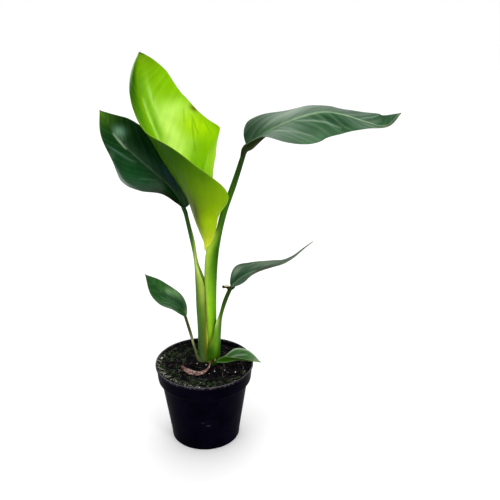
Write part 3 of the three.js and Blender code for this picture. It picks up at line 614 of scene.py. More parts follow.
def tube(path, radii, sides=6):
    """Points and faces of a closed tube along a path, with a radius at each of its points."""
    ahead = unit(np.gradient(path, axis=0))
    across = unit(np.cross(ahead, (0.21, 0.33, 0.92)))
    over = np.cross(ahead, across)
    turns = (np.arange(sides) * TURN / sides)[:, None]
    ring = np.cos(turns) * across[:, None] + np.sin(turns) * over[:, None]
    points = (path[:, None] + ring * radii[:, None, None]).reshape(-1, 3)
    ends = [list(range(sides - 1, -1, -1)), list(range(len(points) - sides, len(points)))]
    return points, ring_faces(len(path), sides).tolist() + ends


# ---------- shader nodes ----------
# Each node is made in the tree of its first socket.
def new_material(name, **principled):
    made = bpy.data.materials.new(name)
    made.use_nodes = True
    shader = made.node_tree.nodes["Principled BSDF"]
    for socket, value in principled.items():
        shader.inputs[socket.replace("_", " ")].default_value = value
    return made, made.node_tree, shader


def node(tree, kind, inputs=None, **settings):
    made = tree.nodes.new("ShaderNode" + kind)
    for key, value in settings.items():
        setattr(made, key, value)
    for key, value in (inputs or {}).items():
        if isinstance(value, bpy.types.NodeSocket):
            tree.links.new(value, made.inputs[key])
        else:
            made.inputs[key].default_value = value
    return made


def maths(operation, first, *others):
    for other in others:
        first = node(first.id_data, "Math", {0: first, 1: other}, operation=operation).outputs[0]
    return first


def plus(*terms):
    return maths("ADD", *terms)


def times(*factors):
    return maths("MULTIPLY", *factors)


def sine(value):
    return node(value.id_data, "Math", {0: value}, operation="SINE").outputs[0]


def attribute(tree, name, output="Fac"):
    return node(tree, "Attribute", attribute_name=name).outputs[output]


def object_place(tree):
    return node(tree, "TexCoord").outputs["Object"]


def spread(value, low, high, to_low=0.0, to_high=1.0):
    """A value of low to high stretched to to_low to to_high, and held at its ends."""
    limits = {"Value": value, "From Min": low, "From Max": high, "To Min": to_low, "To Max": to_high}
    return node(value.id_data, "MapRange", limits).outputs["Result"]


def vector(x, y, z):
    return node(x.id_data, "CombineXYZ", {0: x, 1: y, 2: z}).outputs[0]


def speckle(place, scale, detail=3.0, roughness=0.55):
    """Noise from 0 to 1 at a place."""
    inputs = {"Vector": place, "Scale": scale, "Detail": detail, "Roughness": roughness}
    return node(place.id_data, "TexNoise", inputs).outputs["Fac"]


def mixed(factor, a, b):
    return node(factor.id_data, "Mix", {0: factor, 6: a, 7: b}, data_type="RGBA").outputs[2]


def toned(tree, tone):
    """The painted colour made darker or lighter by a number."""
    inputs = {0: 1.0, 6: attribute(tree, "tint", "Color"), 7: vector(tone, tone, tone)}
    return node(tree, "Mix", inputs, data_type="RGBA", blend_type="MULTIPLY").outputs[2]


def finish_skin(shader, colour, roughness, height, strength, distance):
    """Link a skin's colour, roughness and the height of its bumps."""
    tree = shader.id_data
    bump = node(tree, "Bump", {"Height": height, "Strength": strength, "Distance": distance})
    tree.links.new(colour, shader.inputs["Base Color"])
    tree.links.new(roughness, shader.inputs["Roughness"])
    tree.links.new(bump.outputs["Normal"], shader.inputs["Normal"])


# ---------- materials ----------
LEAF_GLOW = (0.7, 1.0, 0.25)  # how far red, green and blue light spreads in a leaf
VEIN_SPACING = 1.25
FIBRE_SPACING = 0.8


def leaf_material(name, look):
    """Leaf skin: painted colour, fine parallel veins, a painted pale sheen along them, mottling and a soft
    gloss.
    """
    made, tree, shader = new_material(
        name, Specular_IOR_Level=look.get("gloss", 0.05), Coat_Weight=look["coat"], Coat_Roughness=0.14,
        Subsurface_Weight=look["glow"], Subsurface_Radius=LEAF_GLOW, Subsurface_Scale=0.0012,
    )
    vein, reach, face = (attribute(tree, key) for key in ("vein", "reach", "face"))
    streaks, bands = (
        speckle(vector(times(vein, across), times(reach, outward), face), 1.0)
        for across, outward in ((0.75, 0.03), (0.16, 0.02))
    )
    line = sine(times(vein, TURN / VEIN_SPACING))
    place = object_place(tree)
    mottle = speckle(place, 90.0, 4.0)
    deep, rough = look["tone"], look["rough"]
    tone = plus(
        spread(streaks, 0.25, 0.75, 1 - deep, 1 + deep), spread(mottle, 0.3, 0.7, -0.05, 0.05),
        spread(bands, 0.3, 0.7, -deep, deep), times(line, 0.03),
    )
    # pale: a sheen painted in pale bands along the veins, on the upper face only
    pale = times(spread(bands, 0.5, 0.72), spread(streaks, 0.3, 0.7, 0.3, 1.0), face, look["painted_sheen_most"])
    colour = mixed(pale, toned(tree, tone), rgba(look["painted_sheen"]))
    roughness = spread(mottle, 0.3, 0.7, rough - 0.05, rough + 0.07)
    height = plus(times(line, 0.35), times(streaks, 0.7), times(speckle(place, 1400.0, 2.0), 0.3))
    finish_skin(shader, colour, roughness, height, 0.5, 0.00012)
    return made


def stalk_material(name):
    """Stalk skin: painted colour with long fibres."""
    made, tree, shader = new_material(
        name, Specular_IOR_Level=0.05, Coat_Weight=0.04, Coat_Roughness=0.2,
        Subsurface_Weight=0.1, Subsurface_Radius=LEAF_GLOW, Subsurface_Scale=0.002,
    )
    fibre, rise, face = (attribute(tree, key) for key in ("fibre", "rise", "face"))
    strands = speckle(vector(times(fibre, 1.3), times(rise, 0.02), face), 1.0, 4.0)
    mottle = speckle(object_place(tree), 120.0, 4.0)
    tone = plus(spread(strands, 0.25, 0.75, 0.87, 1.13), spread(mottle, 0.3, 0.7, -0.07, 0.07))
    height = plus(times(sine(times(fibre, TURN / FIBRE_SPACING)), 0.3), strands)
    finish_skin(shader, toned(tree, tone), spread(mottle, 0.3, 0.7, 0.34, 0.5), height, 0.5, 0.00015)
    return made


def grain_material(name, rough=0.9, bump=0.0004, scale=700.0):
    """Soil, bark, moss and other small dry things: painted colour with a rough grain."""
    made, tree, shader = new_material(name, Specular_IOR_Level=0.04)
    grain = speckle(object_place(tree), scale, 5.0, 0.65)
    roughness = spread(grain, 0.2, 0.8, rough - 0.12, rough + 0.08)
    finish_skin(shader, toned(tree, spread(grain, 0.25, 0.75, 0.55, 1.45)), roughness, grain, 0.8, bump)
    return made


def pot_material():
    """Thin black plastic: faint purple cast, pale scuffs, dust and lime on the rim, and a painted highlight
    along its top edge.
    """
    made, tree, shader = new_material("pot_plastic", IOR=1.25, Specular_IOR_Level=0.012)
    place = object_place(tree)
    height = node(tree, "SeparateXYZ", {0: place}).outputs[2]
    smears = speckle(place, 45.0, 5.0, 0.6)
    grit = speckle(place, 420.0, 4.0, 0.7)
    stretch = {"Vector": place, "Scale": (1.0, 1.0, 5.0), "Rotation": (0.25, 0.1, 0.0)}
    scratches = speckle(node(tree, "Mapping", stretch).outputs[0], 75.0, 6.0, 0.6)
    colour = mixed(spread(smears, 0.35, 0.7), rgba("#020108"), rgba("#070511"))
    for amount, over in (
        (times(spread(scratches, 0.66, 0.72), spread(smears, 0.45, 0.6), 0.6), "#4a4852"),
        (times(spread(height, 0.0845, 0.0878), spread(grit, 0.5, 0.62), 0.5), "#8a8078"),
        # A painted highlight: a thin pale grey line round the top edge of the rim.
        (times(spread(height, 0.0872, 0.0879), spread(smears, 0.3, 0.6, 0.2, 0.7)), "#5c5c64"),
    ):
        colour = mixed(amount, colour, rgba(over))
    roughness = spread(smears, 0.3, 0.75, 0.3, 0.48)
    finish_skin(shader, colour, roughness, plus(smears, times(grit, 0.3)), 0.3, 0.0004)
    return made


def paint_plain(made, scale, detail, dark, pale):
    """A material's colour as a plain mottle between two colours."""
    shader = made.node_tree.nodes["Principled BSDF"]
    mottle = speckle(object_place(made.node_tree), scale, detail)
    made.node_tree.links.new(mixed(mottle, dark, pale), shader.inputs["Base Color"])


# ---------- leaf blades ----------
def blade_sheet(blade, t, v):
    """The middle surface of a blade: its points, and how far each is from the midrib and from the edge."""
    origin, up, side = (part[:, None] for part in frames(blade["midrib"], blade["face"], t))
    near = np.minimum(t / blade["rounding"], 1)
    base = 0.25 + 0.75 * np.sqrt(1 - (1 - near) ** 2)
    height, count, phase = blade["wave"]
    steps = 12  # from the midrib to the edge, to add up how the half bends
    halves = []
    for key, across, shift, u in (("left", -1, 0.37, -v[v < 0]), ("right", 1, 0, v[v >= 0])):
        half = blade[key]
        far = np.maximum(0, 1 - (1 - t) / half["tip"]) if "tip" in half else 0 * t
        width = np.maximum(along(half["width"], t) * base * (1 - far**2) ** 0.75, 0.5)[:, None]
        rows = (half.get(row, [0, 0]) for row in ("fold", "curl", "lip"))
        fold, curl, lip = (np.radians(along(row, t))[:, None] for row in rows)
        out = rise = 0
        for k in range(steps):
            part = u * (k + 0.5) / steps
            angle = fold + curl * part + lip * part**3
            out = out + np.cos(angle) * u / steps
            rise = rise + np.sin(angle) * u / steps
        angle = fold + curl * u + lip * u**3
        normal = up * np.cos(angle)[..., None] - side * (across * np.sin(angle))[..., None]
        wave = height * np.sin(math.pi * t) * np.sin(TURN * (count * t + phase + shift))
        sheet = origin + side * (across * width * out)[..., None] + up * (width * rise)[..., None]
        sheet = sheet + normal * (u * u * wave[:, None])[..., None]
        halves.append((sheet, u * width, (1 - u) * width))
    return [np.concatenate(parts, axis=1) for parts in zip(*halves)]


def streak_weight(t, v, place, start, end, width):
    """1 on the line between two places on a sheet, falling off across it and toward its ends."""
    first, last = (place[np.abs(t - at[0]).argmin(), np.abs(v - at[1]).argmin()] for at in (start, end))
    line = last - first
    share = np.clip((place - first) @ line / (line @ line), 0, 1)
    away = np.linalg.norm(place - first - share[..., None] * line, axis=-1)
    return bell(away / width) * np.clip(4 * share * (1 - share), 0, 1) ** 0.5


def painted(sides, t, v, along_mm, across_mm):
    """The colours of a piece's two faces, with the patches and streaks of each."""
    colours = np.zeros((2, *across_mm.shape, 3))
    place = np.stack([along_mm + 0 * across_mm, across_mm], axis=-1)
    for k, side in enumerate(sides):
        colours[k] = linear(side["colour"])
        for patch_t, patch_v, half_t, half_v, colour, strength in side.get("patches", []):
            away = ((t[:, None] - patch_t) / half_t) ** 2 + ((v - patch_v) / half_v) ** 2
            colours[k] = blend_to(colours[k], colour, strength * np.exp(-away))
        for start, end, width, colour, strength in side.get("streaks", []):
            weight = strength * streak_weight(t, v, place, start, end, width)
            colours[k] = blend_to(colours[k], colour, weight)
    return colours


def make_blade(leaf, seed):
    blade, look = BLADES[leaf], LEAF_LOOKS[leaf]
    t = np.linspace(0, 1, look["rows"]) ** 1.15
    s = np.linspace(0, 1, look["columns"])
    half = 0.5 * s + 0.25 * (1 - np.cos(math.pi * s))  # closer at the midrib and at the edge
    v = np.concatenate([-half[:0:-1], half])
    points, reach, to_edge = blade_sheet(blade, t, v)
    normals = unit(np.cross(np.gradient(points, axis=1), np.gradient(points, axis=0)))
    run = run_along(blade["midrib"], t)
    down, u = t[:, None], np.abs(v)
    vein = run - reach * look["acute"] * (0.85 + 0.4 * u)
    depth, spacing = look["pleat"]
    wander = lumps(np.stack([vein, 0 * vein, 0 * vein + seed], axis=-1), 14, seed)
    window = np.clip(reach / 3, 0, 1) * np.clip(to_edge / 5, 0, 1)
    pleat = depth * window * np.sin(TURN * (vein / spacing + 0.5 * wander))
    drift = 0.25 * lumps(points, 16, seed + 3) * np.clip(reach / 6, 0, 1)
    middle = points + normals * (pleat + drift)[..., None]
    thin = 0.28 * (1 - 0.65 * u**10)  # half the thickness, less at the edge
    groove = 0.35 * (1 - 0.8 * down) * bell(reach / 1.1)
    rib_depth, rib_width = blade["rib"]
    rib = rib_depth * (1 - 0.9 * down) * bell(reach / rib_width)
    sheets = (middle + normals * (thin - groove)[..., None], middle - normals * (thin + rib)[..., None])
    colours = painted((look["upper"], look["lower"]), t, v, run, np.sign(v) * reach)
    shown = np.clip((look.get("rib_fade", 2) - down) / 0.2, 0, 1)
    for k, width in enumerate((0.75, 1.3)):
        strength = (0.9 - 0.3 * down) * shown * bell(reach / width)
        colours[k] = blend_to(colours[k], look["midrib"], strength)
        colours[k] = blend_to(colours[k], look["margin"], 0.7 * bell(to_edge / 0.45))
        colours[k] = blend_to(colours[k], look.get("tip", DRY_TIP), (down - 0.985) / 0.01 + 0 * u)
    values = {"vein": vein, "reach": reach}
    skin = leaf_material(leaf + "_skin", look)
    add_sheets(leaf + "_leaf", sheets, colours, values, skin, leaf + "_blade")


# ---------- leaf stalks ----------
def stalk_sheets(stalk, t, turn):
    """The outside and the inside of a stalk at rows t and at turns from -1 to 1 round it."""
    origin, keel, side = (part[:, None] for part in frames(stalk["path"], stalk["keel"], t))
    rows = ("keel_radius", "side_radius", "wall", "wrap", "solid")
    a, b, wall, wrap, solid = (along(stalk[row], t)[:, None] for row in rows)
    wrap, solid = np.radians(wrap), np.clip(solid, 0, 1)
    wall = STALK_EDGE + (wall - STALK_EDGE) * (0.5 + 0.5 * np.cos(math.pi * turn))
    angle, quarter = turn * wrap, turn * math.pi / 2
    groove_keel = (a - STALK_EDGE) * np.cos(wrap) + 0.3 * a * np.cos(quarter)
    groove_side = (b - STALK_EDGE) * np.sin(wrap) * np.sin(quarter)
    inner_keel = (a - wall) * np.cos(angle) * (1 - solid) + groove_keel * solid
    inner_side = (b - wall) * np.sin(angle) * (1 - solid) + groove_side * solid
    sections = ((a * np.cos(angle), b * np.sin(angle)), (inner_keel, inner_side))
    return [origin + keel * k[..., None] + side * s[..., None] for k, s in sections]


def make_stalk(leaf):
    stalk, look = STALKS[leaf], STALK_LOOKS[leaf]
    t, turn = np.linspace(0, 1, look["rows"]), np.linspace(-1, 1, 49)
    rise = run_along(stalk["path"], t) + 0 * turn
    fibre = turn * along(stalk["side_radius"], t)[:, None] * np.radians(along(stalk["wrap"], t))[:, None]
    margins = [(0.5, edge, 9, 0.05, look["edge"], 0.6) for edge in (-1, 1)]
    sides = [{**look[key], "patches": margins + look[key].get("patches", [])} for key in ("outer", "inner")]
    colours = painted(sides, t, turn, rise, fibre)
    values = {"fibre": fibre, "rise": rise}
    skin = stalk_material(leaf + "_stalk_skin")
    add_sheets(leaf + "_petiole", stalk_sheets(stalk, t, turn), colours, values, skin, leaf + "_stalk")


def make_neck(leaf):
    """The end of the stalk, running on under the blade and thinning into its midrib."""
    neck, stalk, blade = NECKS[leaf], STALKS[leaf], BLADES[leaf]
    sides = 16
    low = along(stalk["path"], np.array([0.955, 0.985]))
    steps = np.array([0.06, 0.25, 0.55, 1.0])
    high, up, _ = frames(blade["midrib"], blade["face"], steps * neck["reach"])
    radii = np.array(neck["radii"])
    high = high - up * (0.4 + 0.75 * radii[2:, None])
    t = np.linspace(0, 1, 40)
    points, faces = tube(along(np.concatenate([low, high]), t), along(radii, t), sides)
    start, end = (linear(colour) for colour in neck["colours"])
    values = {
        "tint": start + (end - start) * np.repeat(t, sides)[:, None],
        "fibre": np.tile(np.arange(float(sides)), len(t)),
        "rise": np.repeat(t * 20, sides),
        "face": np.ones(len(points)),
    }
    add_piece(leaf + "_neck", points, faces, values, stalk_material(leaf + "_neck_skin"), leaf + "_stalk")


# ---------- pot ----------
def pot_inside(z):
    """The pot's inside radius at height z."""
    shelf = POT["height"] - POT["band"]
    if z > shelf:
        return POT["band_foot"] + (POT["rim"] - POT["band_foot"]) * (z - shelf) / POT["band"] - POT["wall"]
    return POT["base"] + (POT["body_top"] - POT["base"]) * z / shelf - POT["wall"]


def rounded(corners, radius, steps=4):
    """A profile with each of its inner corners rounded by an arc-like curve."""
    points = [corners[0]]
    for before, corner, after in zip(corners, corners[1:], corners[2:]):
        before, corner, after = map(np.array, (before, corner, after))
        reach = min(radius, 0.45 * np.linalg.norm(before - corner), 0.45 * np.linalg.norm(after - corner))
        start = corner + unit(before - corner) * reach
        end = corner + unit(after - corner) * reach
        for u in np.linspace(0, 1, steps + 1):
            points.append(tuple((1 - u) ** 2 * start + 2 * u * (1 - u) * corner + u**2 * end))
    return points + [corners[-1]]


def make_pot():
    height, wall, shelf = POT["height"], POT["wall"], POT["height"] - POT["band"]
    rim, lip, corner, sides = POT["rim"], POT["lip"], POT["corner"], 144
    profile = rounded(
        [
            (POT["base"] - corner, 0), (POT["base"] + 0.5, 0), (POT["base"] + 0.6, corner * 0.8),
            (POT["body_top"], shelf - 1.5), (POT["band_foot"], shelf), (rim - lip, height - 3.2),
            (rim, height - 2.4), (rim, height), (rim - wall, height),
            (POT["band_foot"] - wall, shelf + 1.5), (POT["body_top"] - wall, shelf),
            (pot_inside(corner), corner), (POT["base"] - corner, wall),
        ],
        1.6,
    )
    points, faces = lathe(profile, sides)
    faces = faces.tolist()
    # The floor: a flat plate with drain holes, between the wall's first and last ring.
    middle = TURN * (np.arange(DRAIN["count"])[:, None] + 0.5) / DRAIN["count"]
    angle = TURN * np.arange(DRAIN["sides"]) / DRAIN["sides"]
    x, y = (DRAIN["ring"] * turn(middle) + DRAIN["radius"] * turn(angle) for turn in (np.cos, np.sin))
    holes = len(points) + np.arange(x.size).reshape(x.shape)
    after = np.roll(holes, -1, axis=1)
    faces += np.stack([holes + x.size, after + x.size, after, holes], axis=-1).reshape(-1, 4).tolist()
    floors = [np.stack([x, y, 0 * x + level], axis=-1).reshape(-1, 3) for level in (0, wall)]
    points = np.concatenate([points, *floors])
    for level, ring in ((0, 0), (1, len(profile) - 1)):
        loops = [ring * sides + np.arange(sides), *(holes + level * x.size)]
        index = np.concatenate(loops)
        for face in tessellate_polygon([[Vector((*points[i, :2], 0)) for i in loop] for loop in loops]):
            corners = index[list(face)]
            (ax, ay), (bx, by), (cx, cy) = points[corners, :2]
            faces_up = (bx - ax) * (cy - ay) > (by - ay) * (cx - ax)
            faces.append(corners if faces_up == (level == 1) else corners[::-1])
    made = add_piece("nursery_pot", points, faces, {}, pot_material(), "pot", "pot")
    made.data.set_sharp_from_angle(angle=math.radians(50))


# ---------- soil ----------
def soil_height(x, y):
    """Height of the finished soil surface: heaped at the stem, in front and at the left, lumpy all over."""
    x, y = np.asarray(x, float), np.asarray(y, float)
    far = np.hypot(x - STEM[0], y - STEM[1])
    radius = np.hypot(x, y)
    lump = np.sin(0.31 * x + 0.8) * np.cos(0.27 * y - 0.4) + 0.6 * np.sin(0.62 * x - 0.45 * y + 2)
    front = 2.2 / (1 + np.exp(y / 9)) * np.clip(radius / 40, 0, 1)
    left = 2.6 * np.clip(radius / 47, 0, 1) ** 4 * np.clip(-x / 30, 0, 1)
    flat = np.stack([x, y, 0 * x], axis=-1)
    fine = 1.2 * lumps(flat, 6, 1) + 0.8 * lumps(flat, 2.6, 2) + 0.35 * lumps(flat, 1.2, 3)
    return SOIL_LEVEL - 1.2 + 2.5 * bell(far / 17) + 0.5 * lump + front + left + fine


def make_soil():
    sides, rings = 220, 84
    turns = np.arange(sides) * TURN / sides
    radius = np.linspace(0, 1, rings + 1)[1:, None] ** 0.85 * (pot_inside(SOIL_LEVEL) - 0.15)
    x, y = radius * np.cos(turns), radius * np.sin(turns)
    top = np.stack([x, y, soil_height(x, y)], axis=-1).reshape(-1, 3)
    under = [(pot_inside(z) - 0.5, z) for z in (78, 72, 68, POT["corner"])] + [(28, 2)]  # sides and foot
    points = np.concatenate([top, lathe(under, sides)[0], [(0, 0, soil_height(0, 0)), (0, 0, 2)]])
    centre, bottom = len(points) - 2, len(points) - 1
    faces = ring_faces(rings + len(under), sides)[:, [0, 3, 2, 1]].tolist()
    for j in range(sides):
        k = (j + 1) % sides
        faces += [(centre, j, k), (bottom, centre - sides + k, centre - sides + j)]
    colours = np.zeros(points.shape) + linear("#0b0a0e")
    for colour, size, seed, strength, most, less in (
        ("#1e1a1c", 5, 5, 2.2, 0.7, 0), ("#030305", 9, 6, 2.0, 1, 0), ("#161e10", 13, 7, 2.5, 0.6, 0.3),
    ):
        weight = most * np.clip(strength * lumps(points, size, seed) - less, 0, 1)
        colours = blend_to(colours, colour, weight)
    add_piece("soil_bed", points, faces, {"tint": colours}, grain_material("soil_mix"), "soil", "soil")


# ---------- small things on the soil ----------
class Heap:
    """Many small solids gathered into one mesh."""

    def __init__(self):
        self.points, self.faces, self.colours, self.count = [], [], [], 0

    def add(self, points, faces, colour):
        self.points.append(points)
        self.faces.extend([i + self.count for i in face] for face in faces)
        self.colours.append(np.tile(linear(colour), (len(points), 1)))
        self.count += len(points)

    def build(self, name, material, slot="soil"):
        values = {"tint": np.concatenate(self.colours)}
        add_piece(name, np.concatenate(self.points), self.faces, values, material, slot)


def ball(level):
    """Points and triangles of a ball of radius 1 with even triangles."""
    shape = bmesh.new()
    bmesh.ops.create_icosphere(shape, subdivisions=level, radius=1)
    points = np.array([v.co[:] for v in shape.verts])
    faces = [[v.index for v in face.verts] for face in shape.faces]
    shape.free()
    return points, faces


def on_soil(draw, outer=SOIL_REACH - 1):
    """A random place on the soil, clear of the stem."""
    while True:
        radius = math.sqrt(draw.uniform(0, 1)) * outer
        angle = draw.uniform(0, TURN)
        x, y = radius * math.cos(angle), radius * math.sin(angle)
        if math.hypot((x - STEM[0]) / 13, (y - STEM[1]) / 11) > 1:
            return x, y


def bumpy(draw, points, unevenness):
    return points * np.array([1 + unevenness * draw.uniform(-1, 1) for _ in points])[:, None]


def rough_ball(draw, shape, half, unevenness):
    """A lumpy grain with these half sizes, turned at random."""
    grain = bumpy(draw, shape[0], unevenness) * half
    turn = Quaternion([draw.gauss(0, 1) for _ in range(4)]).normalized()
    return grain @ np.array(turn.to_matrix()).T, shape[1]


def make_crumbs():
    draw, heap = random.Random(11), Heap()
    small, large = ball(1), ball(2)
    colours = ["#0a090b", "#141214", "#050506", "#1e1a1c", "#0e0f14", "#262224", "#0a0b10"]
    for _ in range(1100):
        x, y = on_soil(draw)
        size = draw.choice([0.5, 0.7, 0.9, 1.3]) * draw.uniform(0.7, 1.3)
        half = (size, size * draw.uniform(0.6, 1), size * draw.uniform(0.5, 0.9))
        points, faces = rough_ball(draw, large if size > 1.1 else small, half, 0.22)
        heap.add(points + (x, y, soil_height(x, y) + size * 0.25), faces, draw.choice(colours))
    heap.build("soil_crumbs", grain_material("soil_crumb", 0.9, 0.0002, 1300.0))


def make_bark():
    draw, heap = random.Random(23), Heap()
    colours = ["#141012", "#1e1718", "#0e0c0d", "#2c2220", "#3c2e2a", "#0c0b0e"]
    points, faces = ball(2)
    chip = np.clip(points * 1.25, -1, 1)
    for _ in range(70):
        x, y = on_soil(draw)
        length = draw.uniform(1.2, 3.2)
        half = (length, length * draw.uniform(0.2, 0.5), draw.uniform(0.3, 0.6))
        placed = bumpy(draw, chip, 0.18) * half
        turn = draw.uniform(0, TURN)
        lean = draw.uniform(-0.5, 0.5)
        placed = placed @ np.array(Euler((0, lean, turn)).to_matrix()).T
        heap.add(placed + (x, y, soil_height(x, y) + 0.5), faces, draw.choice(colours))
    heap.build("bark_chips", grain_material("bark", 0.85, 0.0003, 900.0))


# The grains that stand out, as (x, y, size). The rest are strewn at random.
PERLITE_SEEN = [
    (33.6, -16.1, 0.9), (-46.5, 8.5, 1.1), (-41.3, -24, 0.8), (43.2, -14.1, 0.8), (11.3, -14.1, 0.8),
]


def make_perlite():
    draw, heap = random.Random(5), Heap()
    strewn = [(*on_soil(draw), draw.uniform(0.35, 0.8)) for _ in range(12)]
    for x, y, size in PERLITE_SEEN + strewn:
        half = (size, size * draw.uniform(0.7, 1), size * draw.uniform(0.6, 0.9))
        points, faces = rough_ball(draw, ball(2), half, 0.14)
        place = (x, y, soil_height(x, y) + size * 0.45)
        heap.add(points + place, faces, draw.choice(["#e8e6e0", "#d8d4cc", "#c4c0b8"]))
    heap.build("perlite", grain_material("perlite_grain", 0.9, 0.0003, 1500.0))


def make_fibres():
    """Fine roots and fibres that lie on the soil."""
    draw, heap = random.Random(31), Heap()
    steps = 12
    for _ in range(70):
        x, y = on_soil(draw, outer=46)
        heading = draw.uniform(0, TURN)
        bend = draw.uniform(-0.25, 0.25)
        length = draw.uniform(4, 13)
        headings = heading + bend * np.arange(1, steps)
        xs = x + np.cumsum([0, *np.cos(headings)]) * length / steps
        ys = y + np.cumsum([0, *np.sin(headings)]) * length / steps
        if np.hypot(xs, ys).max() >= SOIL_REACH - 0.5:
            continue
        zs = soil_height(xs, ys) + 0.3 + 0.8 * np.sin(np.linspace(0, math.pi, steps)) * draw.uniform(0, 1)
        radii = np.full(steps, draw.uniform(0.12, 0.24))
        radii[[0, -1]] *= 0.4
        tone = draw.choice(["#3c3230", "#5c5250", "#2a2424", "#7c7470", "#34363e", "#50545c"])
        heap.add(*tube(np.stack([xs, ys, zs], axis=1), radii), tone)
    heap.build("root_fibres", grain_material("fibre", 0.8, 0.0001, 2000.0))


# Moss grows in tufts: (x, y, radius of the tuft), most of them along the front rim and at the left.
MOSS = [
    (-28, 20, 6), (-22, 28, 4), (-34, 28, 5), (-39, 20, 5), (-44, 12, 5), (-46, 2, 5), (-45, -9, 5),
    (-41, -20, 5), (-35, -28, 5), (-28, -4, 4), (-33, -17, 5), (-24, 8, 3.5), (-22, -14, 3), (-28, -36, 5),
    (-19, -40, 5), (-10, -37, 5), (-2, -38, 5), (5, -42, 5), (-7, -44, 4), (12, -42, 4.5), (20, -40, 4),
    (28, -36, 4), (-14, -28, 3.5), (-25, -25, 3), (3, -32, 3), (36, -28, 3.5), (42, -20, 3), (-17, 34, 3.5),
    (8, 40, 3), (30, 32, 3), (-36, 8, 3.5), (40, 12, 3),
]
MOSS_COLOURS = ["#2a3820", "#3a4c2c", "#4e6240", "#1c2814", "#6c8060", "#34441c", "#202c1c"]


def make_moss():
    """Tufts of pointed leaves, each a slim spindle with four sides."""
    draw, heap = random.Random(47), Heap()
    faces = [(0, 2, 1), (0, 3, 2), (0, 4, 3), (0, 1, 4), (5, 1, 2), (5, 2, 3), (5, 3, 4), (5, 4, 1)]
    thick = 0.12
    for x0, y0, radius in MOSS:
        for _ in range(int(34 * radius)):
            away, angle = radius * math.sqrt(draw.random()), draw.uniform(0, TURN)
            x, y = x0 + away * math.cos(angle), y0 + away * math.sin(angle)
            if math.hypot(x, y) > SOIL_REACH:
                continue
            height = draw.uniform(1.0, 2.4) * (1.2 - 0.6 * away / radius)
            lean = unit(np.array([draw.uniform(-0.8, 0.8), draw.uniform(-0.8, 0.8), 1.0]))
            side = unit(np.cross(lean, (math.cos(angle), math.sin(angle), 0.1)))
            side, over = side * draw.uniform(0.22, 0.42), np.cross(lean, side) * thick
            tip, waist = lean * height, lean * height * 0.4
            points = np.array([0 * tip, waist + side, waist + over, waist - side, waist - over, tip])
            heap.add(points + (x, y, soil_height(x, y) - 0.2), faces, draw.choice(MOSS_COLOURS))
    heap.build("moss", grain_material("moss_leaf", 0.8, 0.0001, 1200.0))


def make_rim_roots():
    """Pale dead roots that lie on the soil and over the rim, at the left and in front."""
    draw, heap = random.Random(61), Heap()
    steps = np.linspace(0, 1, 9)
    for _ in range(90):
        angle = math.radians(draw.triangular(150, 300, 215))
        radius = draw.uniform(44, 49)
        turn = draw.uniform(-0.09, 0.09)
        reach = draw.uniform(1, POT["rim"] - 0.3 - radius)
        arch = draw.uniform(0.2, 1.4)
        r, a = radius + reach * steps, angle + turn * steps
        x, y = r * np.cos(a), r * np.sin(a)
        on_rim = POT["height"] + 0.15 - 1.2 * np.clip(r - 51.6, 0, 1)
        z = np.where(r > SOIL_REACH, on_rim, soil_height(x, y) + 0.3) + arch * np.sin(math.pi * steps)
        z = np.convolve([z[0], *z, z[-1]], [0.25, 0.5, 0.25], "valid")
        radii = draw.uniform(0.1, 0.22) * np.sin(np.linspace(0.35, 2.8, 9))
        colour = draw.choice(["#8c8a80", "#a8a698", "#6c6c68", "#c0beb0", "#58604c"])
        heap.add(*tube(np.stack([x, y, z], axis=1), radii, 5), colour)
    heap.build("rim_roots", grain_material("dead_root", 0.8, 0.0001, 1800.0))


# ---------- dry things ----------
# The husk's foot lies along its path. From there it leans, and rolls outward by its curl, in degrees.
HUSK = {
    "path": [
        (-23, -6.6, 85.5), (-14.5, -15.6, 85.4), (-5, -20, 85.4), (3.2, -13.8, 86.4), (6.6, -4.6, 88.2),
    ],
    "lean": [5, 0, 0, 5, 0],
    "curl": [90, 150, 150, 90, 30],
    "width": [4, 8.6, 8.2, 4.4, 3.6],
    "thickness": 0.5,
}


